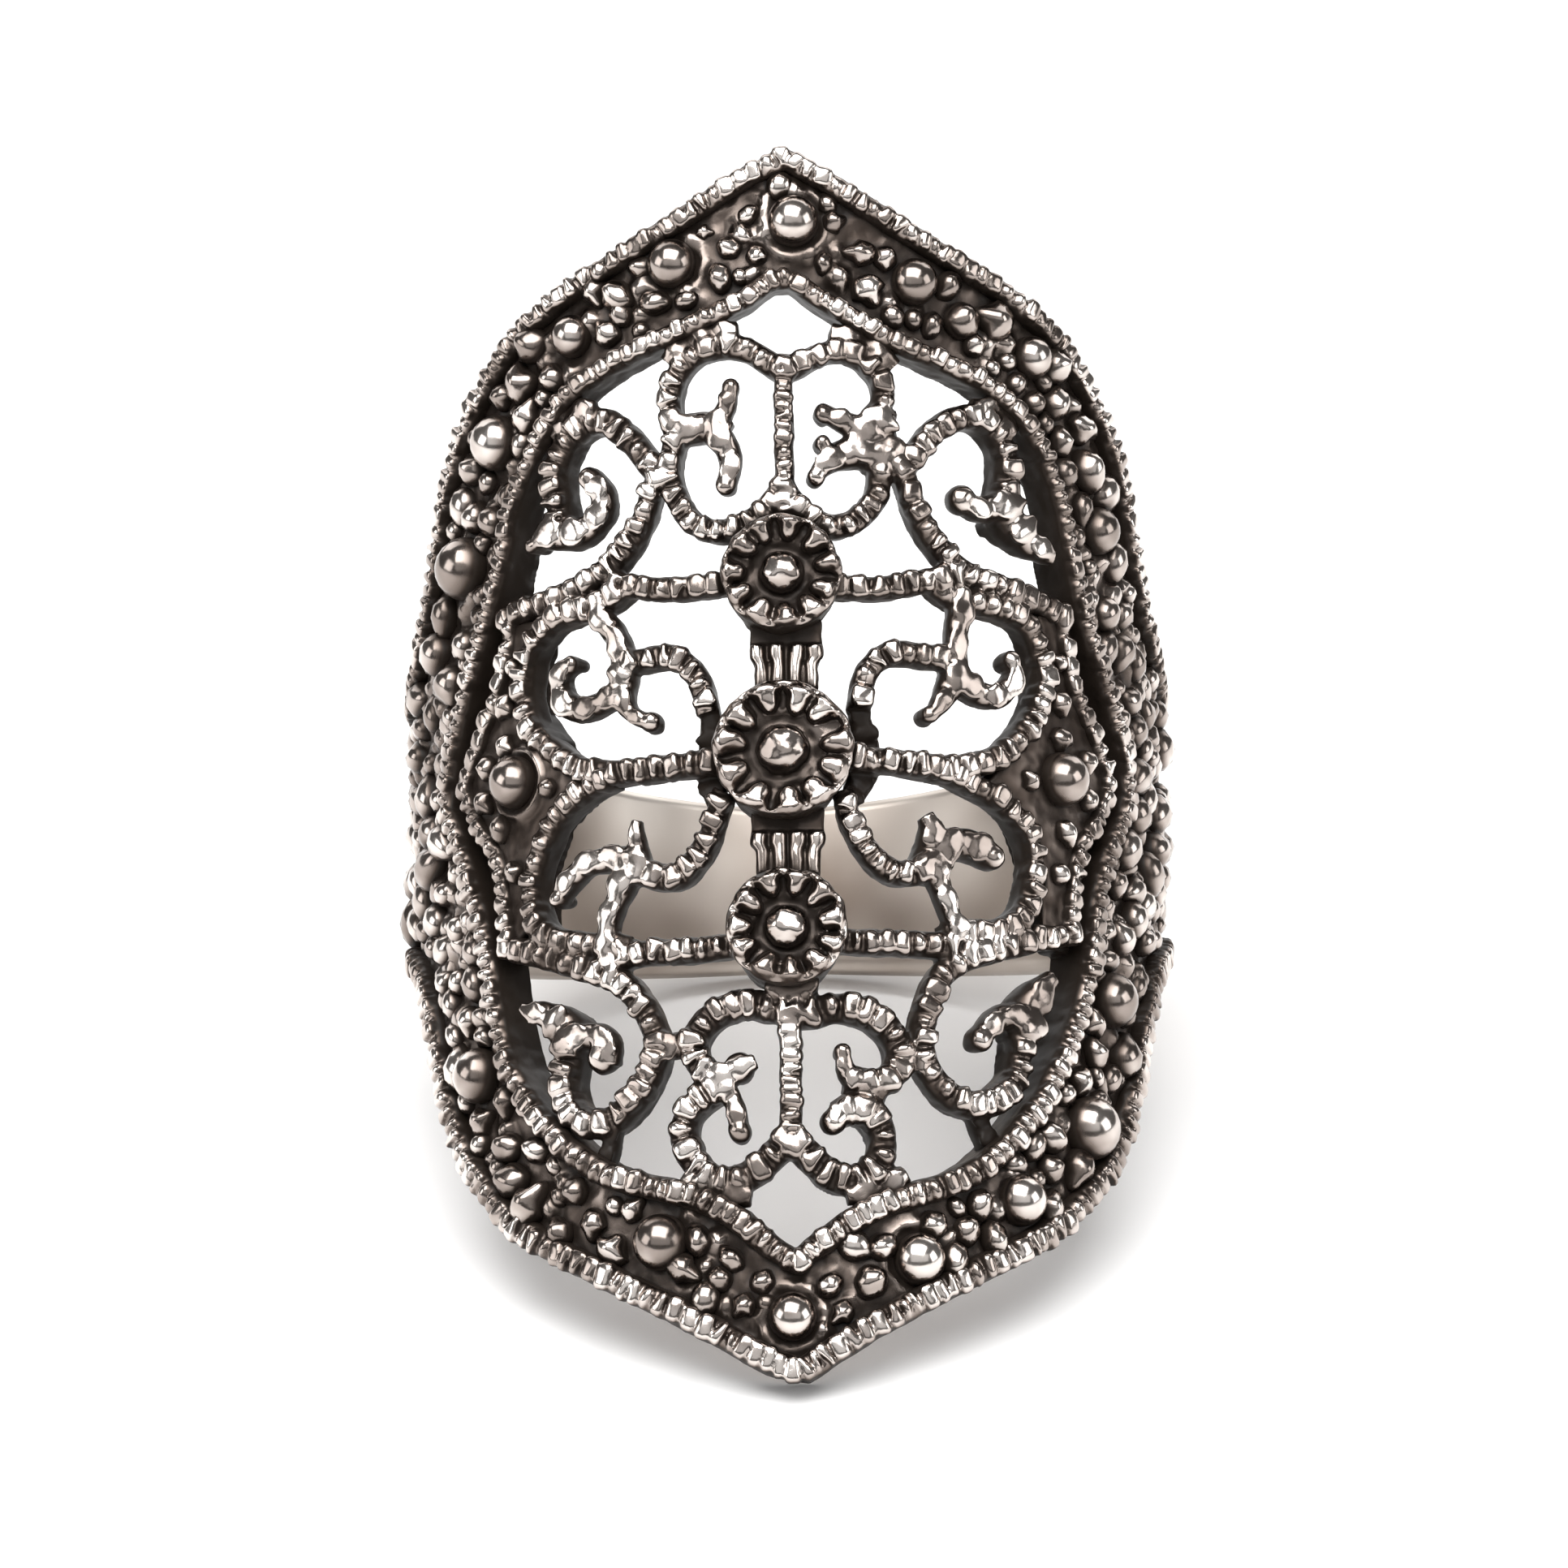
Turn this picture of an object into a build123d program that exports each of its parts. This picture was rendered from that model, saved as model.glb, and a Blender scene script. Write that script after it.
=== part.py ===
from build123d import *
import math
import os

# Sizes in millimetres

finger_bore = 17.5
wall = 0.9
shank_wall = 1.2
relief_height = 0.45
wire_height = 0.35
recess_sink = 0.3
plate_reach = 16.0
lattice_half_width = 8.0
side_band_width = 7.2
shank_width = 4.5
border_end_angle = 112.0
rim_rope_width = 0.6
inner_rope_width = 0.6
rosette_spacing = 4.65
centre_rosette_radius = 1.75
end_rosette_radius = 1.5
rosette_height = 0.75
bridge_width = 1.9
bridge_rib_radius = 0.2
bead_sink = 0.2
groove_overrun = 0.1

# The radii that follow from them

bore_radius = finger_bore / 2
floor_radius = bore_radius + wall
wire_radius = floor_radius + wire_height
rope_radius = floor_radius + relief_height
shank_radius = bore_radius + shank_wall
recess_radius = floor_radius - recess_sink

# How far the cutting shapes reach past the metal, inside, outside and along the finger

cut_inner_radius = bore_radius / 2
cut_outer_radius = 2 * rope_radius
cut_length = 3 * plate_reach

# The front is drawn flat, on squared paper that is then bent round the finger.
# It has 80 squares across to the lattice's side and 160 squares along to a tip.

squares_across = 80
squares_along = 160
square_across = lattice_half_width / squares_across
square_along = plate_reach / squares_along
square = (square_across + square_along) / 2
sheet_radius = floor_radius + relief_height

# The plate's edge from the upper tip to the side, then the band to the back

plate_edge = [
    {"across": 0, "along": 160},
    {"across": 30, "along": 143},
    {"across": 80, "along": 120},
    {"across": 92, "along": 111},
    {"across": 104, "along": 98},
    {"across": 114, "along": 82},
    {"across": 122, "along": 65},
    {"across": 131, "along": 48},
]

# The inner rope's middle line from the upper apex to the side notch

inner_rope_line = [
    {"across": 0, "along": 128},
    {"across": 30, "along": 112},
    {"across": 55, "along": 102},
    {"across": 66, "along": 95},
    {"across": 76, "along": 82},
    {"across": 84, "along": 63},
    {"across": 90, "along": 44},
    {"across": 102, "along": 23},
    {"across": 113, "along": 3},
]

# The openings of one side, each a closed outline of (across, along) squares

side_openings = {
    "upper heart": [(3, 69), (8, 64), (14, 63), (21, 64), (26, 69), (27, 77), (26, 87),
                    (27, 93), (25, 99), (19, 103), (12, 102), (6, 97), (4, 90), (3, 80)],
    "upper spandrel": [(31, 105), (41, 102), (50, 99), (53, 96), (47, 93), (42, 88), (38, 82),
                       (35, 79), (31, 82), (34, 89), (34, 97)],
    "upper side scroll": [(50, 84), (44, 80), (40, 73), (41, 65), (46, 59), (55, 53), (66, 49),
                          (77, 49), (76, 57), (71, 64), (64, 70), (59, 74), (57, 81)],
    "upper triangle": [(33, 64), (37, 59), (37, 53), (31, 50), (22, 50), (17, 52), (19, 56),
                       (25, 58), (29, 63)],
    "upper centre": [(44, 41), (36, 40), (27, 38), (19, 39), (13, 34), (10, 27), (9, 20), (13, 14),
                     (17, 13), (20, 17), (21, 23), (26, 29), (33, 31), (39, 30), (42, 34)],
    "upper loop": [(26, 5), (36, 2), (48, 2), (57, 3), (64, 9), (69, 17), (69, 25), (66, 32),
                   (60, 36), (53, 38), (49, 33), (47, 27), (40, 24), (34, 25), (29, 23), (25, 17),
                   (24, 11)],
    "lower loop": [(21, -8), (31, -6), (42, -8), (51, -11), (58, -15), (64, -24), (67, -32),
                   (63, -40), (57, -43), (52, -40), (50, -33), (46, -27), (39, -25), (34, -26),
                   (28, -25), (23, -20), (20, -14)],
    "lower centre": [(13, -19), (10, -24), (10, -31), (14, -37), (17, -44), (24, -45), (40, -45),
                     (41, -39), (38, -34), (32, -36), (26, -34), (21, -28), (17, -20)],
    "lower triangle": [(37, -56), (30, -55), (20, -54), (17, -57), (21, -60), (25, -62),
                       (29, -66), (33, -63)],
    "lower side scroll": [(78, -51), (70, -52), (60, -55), (50, -59), (43, -65), (40, -73),
                          (41, -80), (46, -86), (51, -88), (55, -85), (57, -79), (60, -72),
                          (66, -66), (72, -61)],
    "lower spandrel": [(35, -82), (30, -81), (27, -85), (32, -91), (33, -96), (31, -102),
                       (30, -107), (39, -105), (46, -102), (51, -98), (45, -95), (40, -89)],
    "lower heart": [(3, -74), (7, -69), (13, -67), (19, -70), (22, -76), (21, -83), (20, -90),
                    (21, -97), (21, -104), (15, -107), (10, -103), (6, -97), (3, -88), (2, -80)],
}

# The two openings on the centre line, each drawn from its top to its bottom on one side

centre_openings = {
    "upper diamond": [(0, 120), (12, 111), (7, 107), (0, 103)],
    "lower diamond": [(0, -110), (12, -115), (7, -121), (0, -126)],
}

# The scroll ends that stand in an opening, each a middle line with its width in squares

spurs = {
    "upper heart": [
        [(32, 86, 7), (25, 87, 6), (19, 88, 5), (16, 92, 4), (14, 97, 3)],
        [(24, 86, 6), (17, 85, 6), (15, 78, 5), (16, 71, 3)],
    ],
    "upper side scroll": [
        [(80, 60, 3), (72, 62, 5), (64, 64, 6), (57, 63, 5), (52, 66, 5), (50, 71, 5), (53, 76, 4)],
    ],
    "upper loop": [
        [(45, 34, 8), (45, 27, 8), (46, 20, 6), (42, 14, 5), (37, 11, 4)],
        [(45, 22, 7), (52, 18, 5), (58, 18, 5), (63, 22, 5), (63, 28, 4), (58, 31, 3)],
    ],
    "lower loop": [
        [(44, -32, 9), (41, -26, 8), (41, -21, 5), (40, -16, 3)],
        [(44, -30, 8), (49, -25, 5), (56, -24, 4), (62, -29, 3)],
    ],
    "lower side scroll": [
        [(64, -72, 6), (57, -69, 5), (52, -70, 5), (48, -74, 4), (50, -78, 3)],
    ],
    "lower heart": [
        [(26, -85, 7), (20, -83, 6), (12, -79, 4)],
        [(22, -85, 6), (15, -88, 6), (14, -97, 3)],
    ],
}

# The sunk floors of one side

side_recesses = {
    "upper recess": [(70, 84), (76, 77), (80, 67), (83, 57), (85, 50), (81, 49), (79, 56), (76, 64),
                     (71, 72)],
    "notch recess": [(87, 40), (94, 33), (103, 17), (108, 2), (103, -13), (95, -29), (88, -40),
                     (90, -26), (96, -14), (101, 0), (97, 12), (90, 26)],
    "lower recess": [(70, -84), (76, -77), (80, -67), (83, -57), (85, -51), (81, -52), (77, -64),
                     (71, -73)],
}

# The beads of one quarter of the border, and the few that stand on the centre line

border_beads = [
    {"across": 10, "along": 142, "radius": 3.0},
    {"across": 15, "along": 134, "radius": 3.0},
    {"across": 23, "along": 138, "radius": 2.5},
    {"across": 19, "along": 125, "radius": 3.5},
    {"across": 31, "along": 130, "radius": 6.0},
    {"across": 41, "along": 119, "radius": 4.0},
    {"across": 46, "along": 128, "radius": 3.5},
    {"across": 53, "along": 114, "radius": 4.0},
    {"across": 62, "along": 117, "radius": 5.5},
    {"across": 67, "along": 105, "radius": 3.5},
    {"across": 76, "along": 111, "radius": 4.5},
    {"across": 77, "along": 98, "radius": 4.5},
    {"across": 90, "along": 91, "radius": 7.0},
    {"across": 87, "along": 79, "radius": 3.5},
    {"across": 100, "along": 80, "radius": 4.5},
    {"across": 94, "along": 67, "radius": 4.5},
    {"across": 107, "along": 61, "radius": 6.5},
    {"across": 99, "along": 47, "radius": 4.5},
    {"across": 115, "along": 47, "radius": 4.5},
    {"across": 108, "along": 32, "radius": 4.5},
    {"across": 122, "along": 31, "radius": 6.0},
    {"across": 118, "along": 14, "radius": 5.0},
    {"across": 136, "along": 25, "radius": 4.0},
    {"across": 132, "along": 11, "radius": 4.5},
    {"across": 149, "along": 25, "radius": 4.0},
    {"across": 147, "along": 9, "radius": 5.0},
    {"across": 162, "along": 20, "radius": 5.0},
    {"across": 161, "along": 7, "radius": 4.0},
    {"across": 176, "along": 22, "radius": 4.0},
    {"across": 175, "along": 9, "radius": 5.0},
]
lozenge_beads = [
    {"across": 89, "along": 12, "radius": 4.0},
    {"across": 81, "along": 18, "radius": 3.5},
    {"across": 84, "along": 27, "radius": 3.5},
]
centre_beads = [
    {"across": 0, "along": 141, "radius": 6.5},
    {"across": 0, "along": -144, "radius": 6.0},
]
side_bead = {"across": 80, "along": 0, "radius": 6.5}

# How the rosettes, bridges and axis bars are shared out

petals = 11
petal_ring_share = 0.78
petal_radius_share = 0.21
centre_bead_share = 0.42
bridge_ribs = 4
bridge_length_share = 0.45


def ring_tube(inner, outer):
    """A round tube on the finger's axis, longer than the plate."""
    tube = Cylinder(outer, cut_length) - Cylinder(inner, cut_length)
    return Rot(90, 0, 0) * tube


def half_wall_section(angle, half_width):
    """The rectangle where a radial plane cuts a strip that is this wide."""
    plane = Plane(origin=(0, 0, 0), x_dir=(math.sin(angle), 0, math.cos(angle)),
                  z_dir=(math.cos(angle), 0, -math.sin(angle)))
    middle = (cut_inner_radius + cut_outer_radius) / 2
    height = cut_outer_radius - cut_inner_radius
    return plane * Pos(middle, 0) * Rectangle(height, 2 * half_width)


def strip_round_finger(edge):
    """A solid strip through (angle, half width) sections, for cutting a tube to shape."""
    sections = [half_wall_section(angle, half_width) for angle, half_width in edge]
    return loft(sections, ruled=True)


def both_ways(edge):
    """The rows of one side, with their mirror image before them."""
    mirrored = [(-angle, half_width) for angle, half_width in reversed(edge[1:])]
    return mirrored + edge


def flat_points(rows):
    """The rows of the squared paper as flat millimetres."""
    return [(row["across"] * square_across, row["along"] * square_along) for row in rows]


def band_half_width(angle):
    """Half the band's width from the side, at a quarter turn, to the back, at a half turn."""
    share = (angle - math.pi / 2) / (math.pi / 2)
    return (side_band_width * (1 - share) + shank_width * share) / 2


def outer_edge():
    """The edge of all that is granulated, from the upper tip to behind the side."""
    end = math.radians(border_end_angle)
    sides = [(angle * sheet_radius, band_half_width(angle)) for angle in (math.pi / 2, end)]
    return flat_points(plate_edge) + sides


def offset_line(points, distance):
    """A line beside the points, as (angle, half width), moved outwards by the distance."""
    moved = []
    for index, (across, along) in enumerate(points):
        before = points[max(index - 1, 0)]
        after = points[min(index + 1, len(points) - 1)]
        run = math.hypot(after[0] - before[0], after[1] - before[1])
        if index == 0:
            moved.append((0.0, along + distance * run / (after[0] - before[0])))
            continue
        across += (before[1] - after[1]) / run * distance
        along += (after[0] - before[0]) / run * distance
        moved.append((across / sheet_radius, along))
    return moved


def front_strip(points, distance, overrun=0.0):
    """The strip inside the line moved outwards, run on past its ends by the overrun's angle."""
    edge = offset_line(points, distance)
    if overrun:
        angle, half_width = edge[-1]
        edge.append((angle + overrun, half_width))
    return strip_round_finger(both_ways(edge))


def plate():
    """The front, as high as its ropes, with the border and the field sunk between them."""
    edge = outer_edge()
    rope = flat_points(inner_rope_line)
    half = inner_rope_width / 2
    body = ring_tube(bore_radius, rope_radius) & front_strip(edge, 0)
    groove = front_strip(edge, -rim_rope_width, groove_overrun)
    border = ring_tube(floor_radius, cut_outer_radius) & groove
    body -= border - front_strip(rope, half)
    body -= ring_tube(wire_radius, cut_outer_radius) & front_strip(rope, -half)
    return body


def shank():
    """The smooth band behind the finger, narrower at the back."""
    start = math.radians(border_end_angle)
    edge = [(angle, band_half_width(angle)) for angle in (start, (start + math.pi) / 2, math.pi)]
    right = ring_tube(bore_radius, shank_radius) & strip_round_finger(edge)
    return right + mirror(right, about=Plane.YZ)


def local_place(across, height):
    """The place that looks outwards at this distance round the finger."""
    angle = across / sheet_radius
    plane = Plane(origin=(0, 0, 0), x_dir=(math.cos(angle), 0, -math.sin(angle)),
                  z_dir=(math.sin(angle), 0, math.cos(angle)))
    return plane * Pos(0, 0, height)


def middle_across(points):
    return sum(point[0] for point in points) / len(points) * square_across


def flatten(points, middle):
    """Squares to flat millimetres as they are seen straight on at the middle."""
    return [(sheet_radius * math.sin((across * square_across - middle) / sheet_radius),
             along * square_along) for across, along in points]


def closed_face(points):
    return make_face(Spline(points, periodic=True))


def spur_face(rows, middle):
    """The flat shape of one scroll end, round at its tip."""
    left = []
    right = []
    for index, (across, along, width) in enumerate(rows):
        before = rows[max(index - 1, 0)]
        after = rows[min(index + 1, len(rows) - 1)]
        run = math.hypot(after[0] - before[0], after[1] - before[1])
        side = ((before[1] - after[1]) / run * width / 2, (after[0] - before[0]) / run * width / 2)
        left.append((across + side[0], along + side[1]))
        right.append((across - side[0], along - side[1]))
    last = rows[-1]
    run = math.hypot(last[0] - rows[-2][0], last[1] - rows[-2][1])
    reach = last[2] / 2
    tip = (last[0] + (last[0] - rows[-2][0]) / run * reach, last[1] + (last[1] - rows[-2][1]) / run * reach)
    outline = flatten(left + [tip] + list(reversed(right)), middle)
    path = Spline(outline)
    return make_face([path, Line(path @ 1, path @ 0)])


def opening_tool(points, scroll_ends):
    """One pierced opening, sawn square to the surface at its middle, less its scroll ends."""
    middle = middle_across(points)
    face = closed_face(flatten(points, middle))
    for rows in scroll_ends:
        face -= spur_face(rows, middle)
    height = cut_outer_radius - cut_inner_radius
    return local_place(middle, cut_inner_radius) * extrude(face, height)


def recess_tool(points):
    middle = middle_across(points)
    face = closed_face(flatten(points, middle))
    return local_place(middle, recess_radius) * extrude(face, cut_outer_radius - recess_radius)


def opening_tools():
    tools = []
    for name, points in side_openings.items():
        tool = opening_tool(points, spurs.get(name, []))
        tools += [tool, mirror(tool, about=Plane.YZ)]
    for points in centre_openings.values():
        other_side = [(-across, along) for across, along in reversed(points[1:-1])]
        tools.append(opening_tool(points + other_side, []))
    return tools


def recess_tools():
    tools = []
    for points in side_recesses.values():
        tool = recess_tool(points)
        tools += [tool, mirror(tool, about=Plane.YZ)]
    return tools


def bead(row, across_sign, along_sign, ground=floor_radius):
    radius = row["radius"] * square
    place = local_place(row["across"] * square_across * across_sign, ground + bead_sink * radius)
    return place * Pos(0, row["along"] * square_along * along_sign, 0) * Sphere(radius)


def beads():
    quarters = [(across_sign, along_sign) for across_sign in (1, -1) for along_sign in (1, -1)]
    made = [bead(row, *signs) for row in border_beads for signs in quarters]
    made += [bead(row, *signs, wire_radius) for row in lozenge_beads for signs in quarters]
    made += [bead(row, 1, 1) for row in centre_beads]
    made += [bead(side_bead, across_sign, 1, wire_radius) for across_sign in (1, -1)]
    return made


def rosette(along, radius):
    """A round flower: a disc, a ring of petals and a bead in the middle."""
    disc_top = floor_radius + rosette_height
    place = Pos(0, along, 0)
    body = place * Pos(0, 0, (bore_radius + disc_top) / 2) * Cylinder(radius, disc_top - bore_radius)
    inside = ring_tube(0, bore_radius)
    body -= inside
    extras = []
    for index in range(petals):
        turn = 360 * index / petals
        petal = Pos(radius * petal_ring_share, 0, disc_top) * Sphere(radius * petal_radius_share)
        extras.append(place * Rot(0, 0, turn) * petal)
    extras.append(place * Pos(0, 0, disc_top) * Sphere(radius * centre_bead_share))
    return body + extras


def bridge(along):
    """A ribbed bar between two rosettes."""
    length = rosette_spacing * bridge_length_share
    top = wire_radius
    block = Pos(0, along, (bore_radius + top) / 2) * Box(bridge_width, length, top - bore_radius)
    block -= ring_tube(0, bore_radius)
    pitch = (bridge_width - 2 * bridge_rib_radius) / (bridge_ribs - 1)
    ribs = []
    for index in range(bridge_ribs):
        across = (index - (bridge_ribs - 1) / 2) * pitch
        ribs.append(Pos(across, along, top) * Rot(90, 0, 0) * Cylinder(bridge_rib_radius, length))
    return block + ribs


def ring_upright():
    """The whole casting with the finger's axis along Y and the plate's middle straight up."""
    body = plate() + shank() + beads()
    body -= recess_tools()
    body -= opening_tools()
    return body + [
        rosette(rosette_spacing, end_rosette_radius),
        rosette(0, centre_rosette_radius),
        rosette(-rosette_spacing, end_rosette_radius),
        bridge(rosette_spacing / 2),
        bridge(-rosette_spacing / 2),
    ]


def ring_lying():
    """The casting as it lies, on its lower tip's inner corner and the shank's lower back edge."""
    drop = plate_reach - shank_width / 2
    lean = math.degrees(math.atan2(drop, bore_radius + shank_radius))
    body = Rot(90 - lean, 0, 0) * ring_upright()
    box = body.bounding_box()
    middle = (box.min + box.max) / 2
    return Pos(-middle.X, -middle.Y, -box.min.Z) * body


os.makedirs("parts", exist_ok=True)
silver_ring = ring_lying()
silver_ring.label = "silver_ring"
export_step(silver_ring, "parts/silver_ring.step")
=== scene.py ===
import math
import random

import bpy
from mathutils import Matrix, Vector


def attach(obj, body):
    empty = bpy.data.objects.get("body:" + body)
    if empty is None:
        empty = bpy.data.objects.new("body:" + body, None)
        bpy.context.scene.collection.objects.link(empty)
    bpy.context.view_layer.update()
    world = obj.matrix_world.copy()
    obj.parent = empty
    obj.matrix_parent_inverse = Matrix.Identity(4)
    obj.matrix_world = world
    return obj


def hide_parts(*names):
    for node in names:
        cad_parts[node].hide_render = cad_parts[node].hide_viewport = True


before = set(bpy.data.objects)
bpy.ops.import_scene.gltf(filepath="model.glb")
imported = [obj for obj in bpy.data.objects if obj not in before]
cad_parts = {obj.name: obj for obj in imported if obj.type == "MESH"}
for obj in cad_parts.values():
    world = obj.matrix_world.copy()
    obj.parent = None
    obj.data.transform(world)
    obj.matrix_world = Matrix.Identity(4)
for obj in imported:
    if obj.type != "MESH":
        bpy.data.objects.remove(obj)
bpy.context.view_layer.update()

# The ring is drawn flat in millimetres: X across the finger, Y along it, Z the height over the
# sheet that is then bent round the finger. A height of 0 is the sheet's own radius. Names with
# TOP, FOOT or HEIGHT are such heights.

SHEET_RADIUS = 10.1
BORE_HEIGHT = -1.35
FLOOR_HEIGHT = -0.45
RECESS_HEIGHT = -0.75
LOZENGE_HEIGHT = -0.32
SHANK_HEIGHT = -0.15
WIRE_TOP = -0.03
WIRE_FOOT = -0.95
WEB_TOP = -0.32
ROPE_TOP = 0.08
SPUR_TOP = -0.02
CONTACT_DROP = 0.09

# How the ring lies: the finger's axis leans back, and the ring's middle stands over the floor

LEAN = math.radians(36.327)
FINGER_AXIS = (0, math.sin(LEAN), math.cos(LEAN))
MIDDLE_Y = 4.1243
MIDDLE_Z = 7.707
MILLIMETRE = 0.001

# The border's reach across and along the sheet, where its sides start, and the band's half widths

BORDER_END = 19.74
TIP_REACH = 15.6
SIDE_START = 9.8
BORDER_HALF_WIDTH = 3.28
BACK_HALF_WIDTH = 2.25

# How wires and ropes are made: widths and depths in millimetres, gains and roundings as shares

BAR_OVERLAP = 0.05
WIRE_GAIN = 1.12
SPUR_GAIN = 1.65
WIRE_WIDTH = 0.6
WIRE_ROUNDING = 0.36
SPUR_ROUNDING = 0.47
NOTCH_DEPTH = 0.18
SPUR_NOTCH_DEPTH = 0.05
ROPE_PITCH = 0.39
WIRE_PITCH = 0.46
AXIS_BAR_PITCH = 0.3
INSIDE_PRESS = 0.14
CREASE_DEGREES = 50
CHANCE = random.Random(11)
BACK = math.pi * SHEET_RADIUS

# The middle line of the rim's rope, clockwise from the upper tip

RIM_ROPE = [
    (0, 15.8), (0.35, 15.62), (1, 15.25), (2, 14.68), (3, 14.08), (4, 13.58), (5, 13.13), (6, 12.72),
    (7, 12.22), (8, 11.68), (9, 10.85), (10, 9.93), (10.7, 9.05), (11.3, 8.0), (11.9, 6.75), (12.5, 5.4),
    (13.2, 4.55), (14.4, 3.9), (15.87, 3.4), (17.8, 3.15), (19.6, 2.98), (19.6, 0), (19.6, -2.98),
    (17.8, -3.15), (15.87, -3.4), (14.4, -3.9), (13.2, -4.5), (12.5, -5.5), (11.9, -6.75), (11.3, -8.0),
    (10.7, -9.05), (10, -9.9), (9, -10.85), (8, -11.65), (7, -12.2), (6, -12.7), (5, -13.15), (4, -13.65),
    (3, -14.15), (2, -14.7), (1, -15.3), (0.45, -15.68), (0.1, -15.85), (-0.3, -15.7), (-1, -15.3),
    (-2, -14.75), (-3, -14.2), (-4, -13.7), (-5, -13.2), (-6, -12.72), (-7, -12.22), (-8, -11.65), (-9, -10.85),
    (-10, -9.9), (-10.7, -9.05), (-11.3, -8.0), (-11.9, -6.9), (-12.5, -5.5), (-13.2, -4.5), (-14.4, -3.9),
    (-15.87, -3.4), (-17.8, -3.15), (-19.6, -2.98), (-19.6, 0), (-19.6, 2.98), (-17.8, 3.15), (-15.87, 3.4),
    (-14.4, 3.9), (-13.2, 4.55), (-12.5, 5.4), (-11.9, 6.75), (-11.3, 8.0), (-10.7, 9.05), (-10, 9.93),
    (-9, 10.85), (-8, 11.68), (-7, 12.22), (-6, 12.72), (-5, 13.13), (-4, 13.58), (-3, 14.08), (-2, 14.68),
    (-1, 15.25), (-0.35, 15.62),
]

# The middle line of the rope round the pierced field, clockwise from its upper tip

INNER_ROPE = [
    (0, 12.75), (0.5, 12.3), (1.2, 11.9), (2.3, 11.3), (3.2, 10.85), (4.4, 10.5), (5.4, 10.2), (6.1, 9.9),
    (7, 9.2), (7.6, 8.5), (7.95, 7.8), (8.3, 7), (8.5, 6.2), (8.7, 5.4), (9, 4.6), (9.3, 3.9), (9.8, 3.2),
    (10.2, 2.6), (10.6, 2), (11.1, 0.9), (11.4, 0), (11.1, -0.6), (10.4, -1.4), (9.8, -2.4), (9.4, -3.6),
    (9.2, -4.5), (9.1, -5.4), (8.8, -6), (8.2, -7.1), (7.7, -7.9), (7.2, -8.7), (6.5, -9.4), (5.9, -10),
    (5.2, -10.5), (4.4, -10.9), (3.5, -11.2), (2.7, -11.4), (2, -11.7), (1.2, -12.2), (0.5, -12.75),
    (0.1, -13.1), (-0.5, -12.65), (-1.3, -11.95), (-2, -11.5), (-2.8, -11.2), (-3.6, -11), (-4.4, -10.8),
    (-5.2, -10.5), (-6, -10), (-6.6, -9.5), (-7.2, -8.9), (-7.7, -8.3), (-8.2, -7.7), (-8.6, -6.9),
    (-8.9, -5.8), (-9.1, -4.8), (-9.4, -3.8), (-10, -2.4), (-10.6, -1.2), (-11.2, -0.5), (-11.4, -0.1),
    (-11.1, 0.8), (-10.5, 2.1), (-10.2, 2.6), (-9.6, 3.6), (-9.1, 4.6), (-8.6, 5.6), (-8.4, 6.3), (-8.2, 7),
    (-7.9, 7.6), (-7.6, 8.2), (-7.1, 8.8), (-6.6, 9.4), (-6.2, 9.9), (-5.5, 10.25), (-4.7, 10.6), (-3.8, 10.95),
    (-3, 11.2), (-2.3, 11.5), (-1.5, 11.8), (-0.7, 12.2),
]

# The notched wires of the pierced field: width at the start and the end, then the middle line

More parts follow.
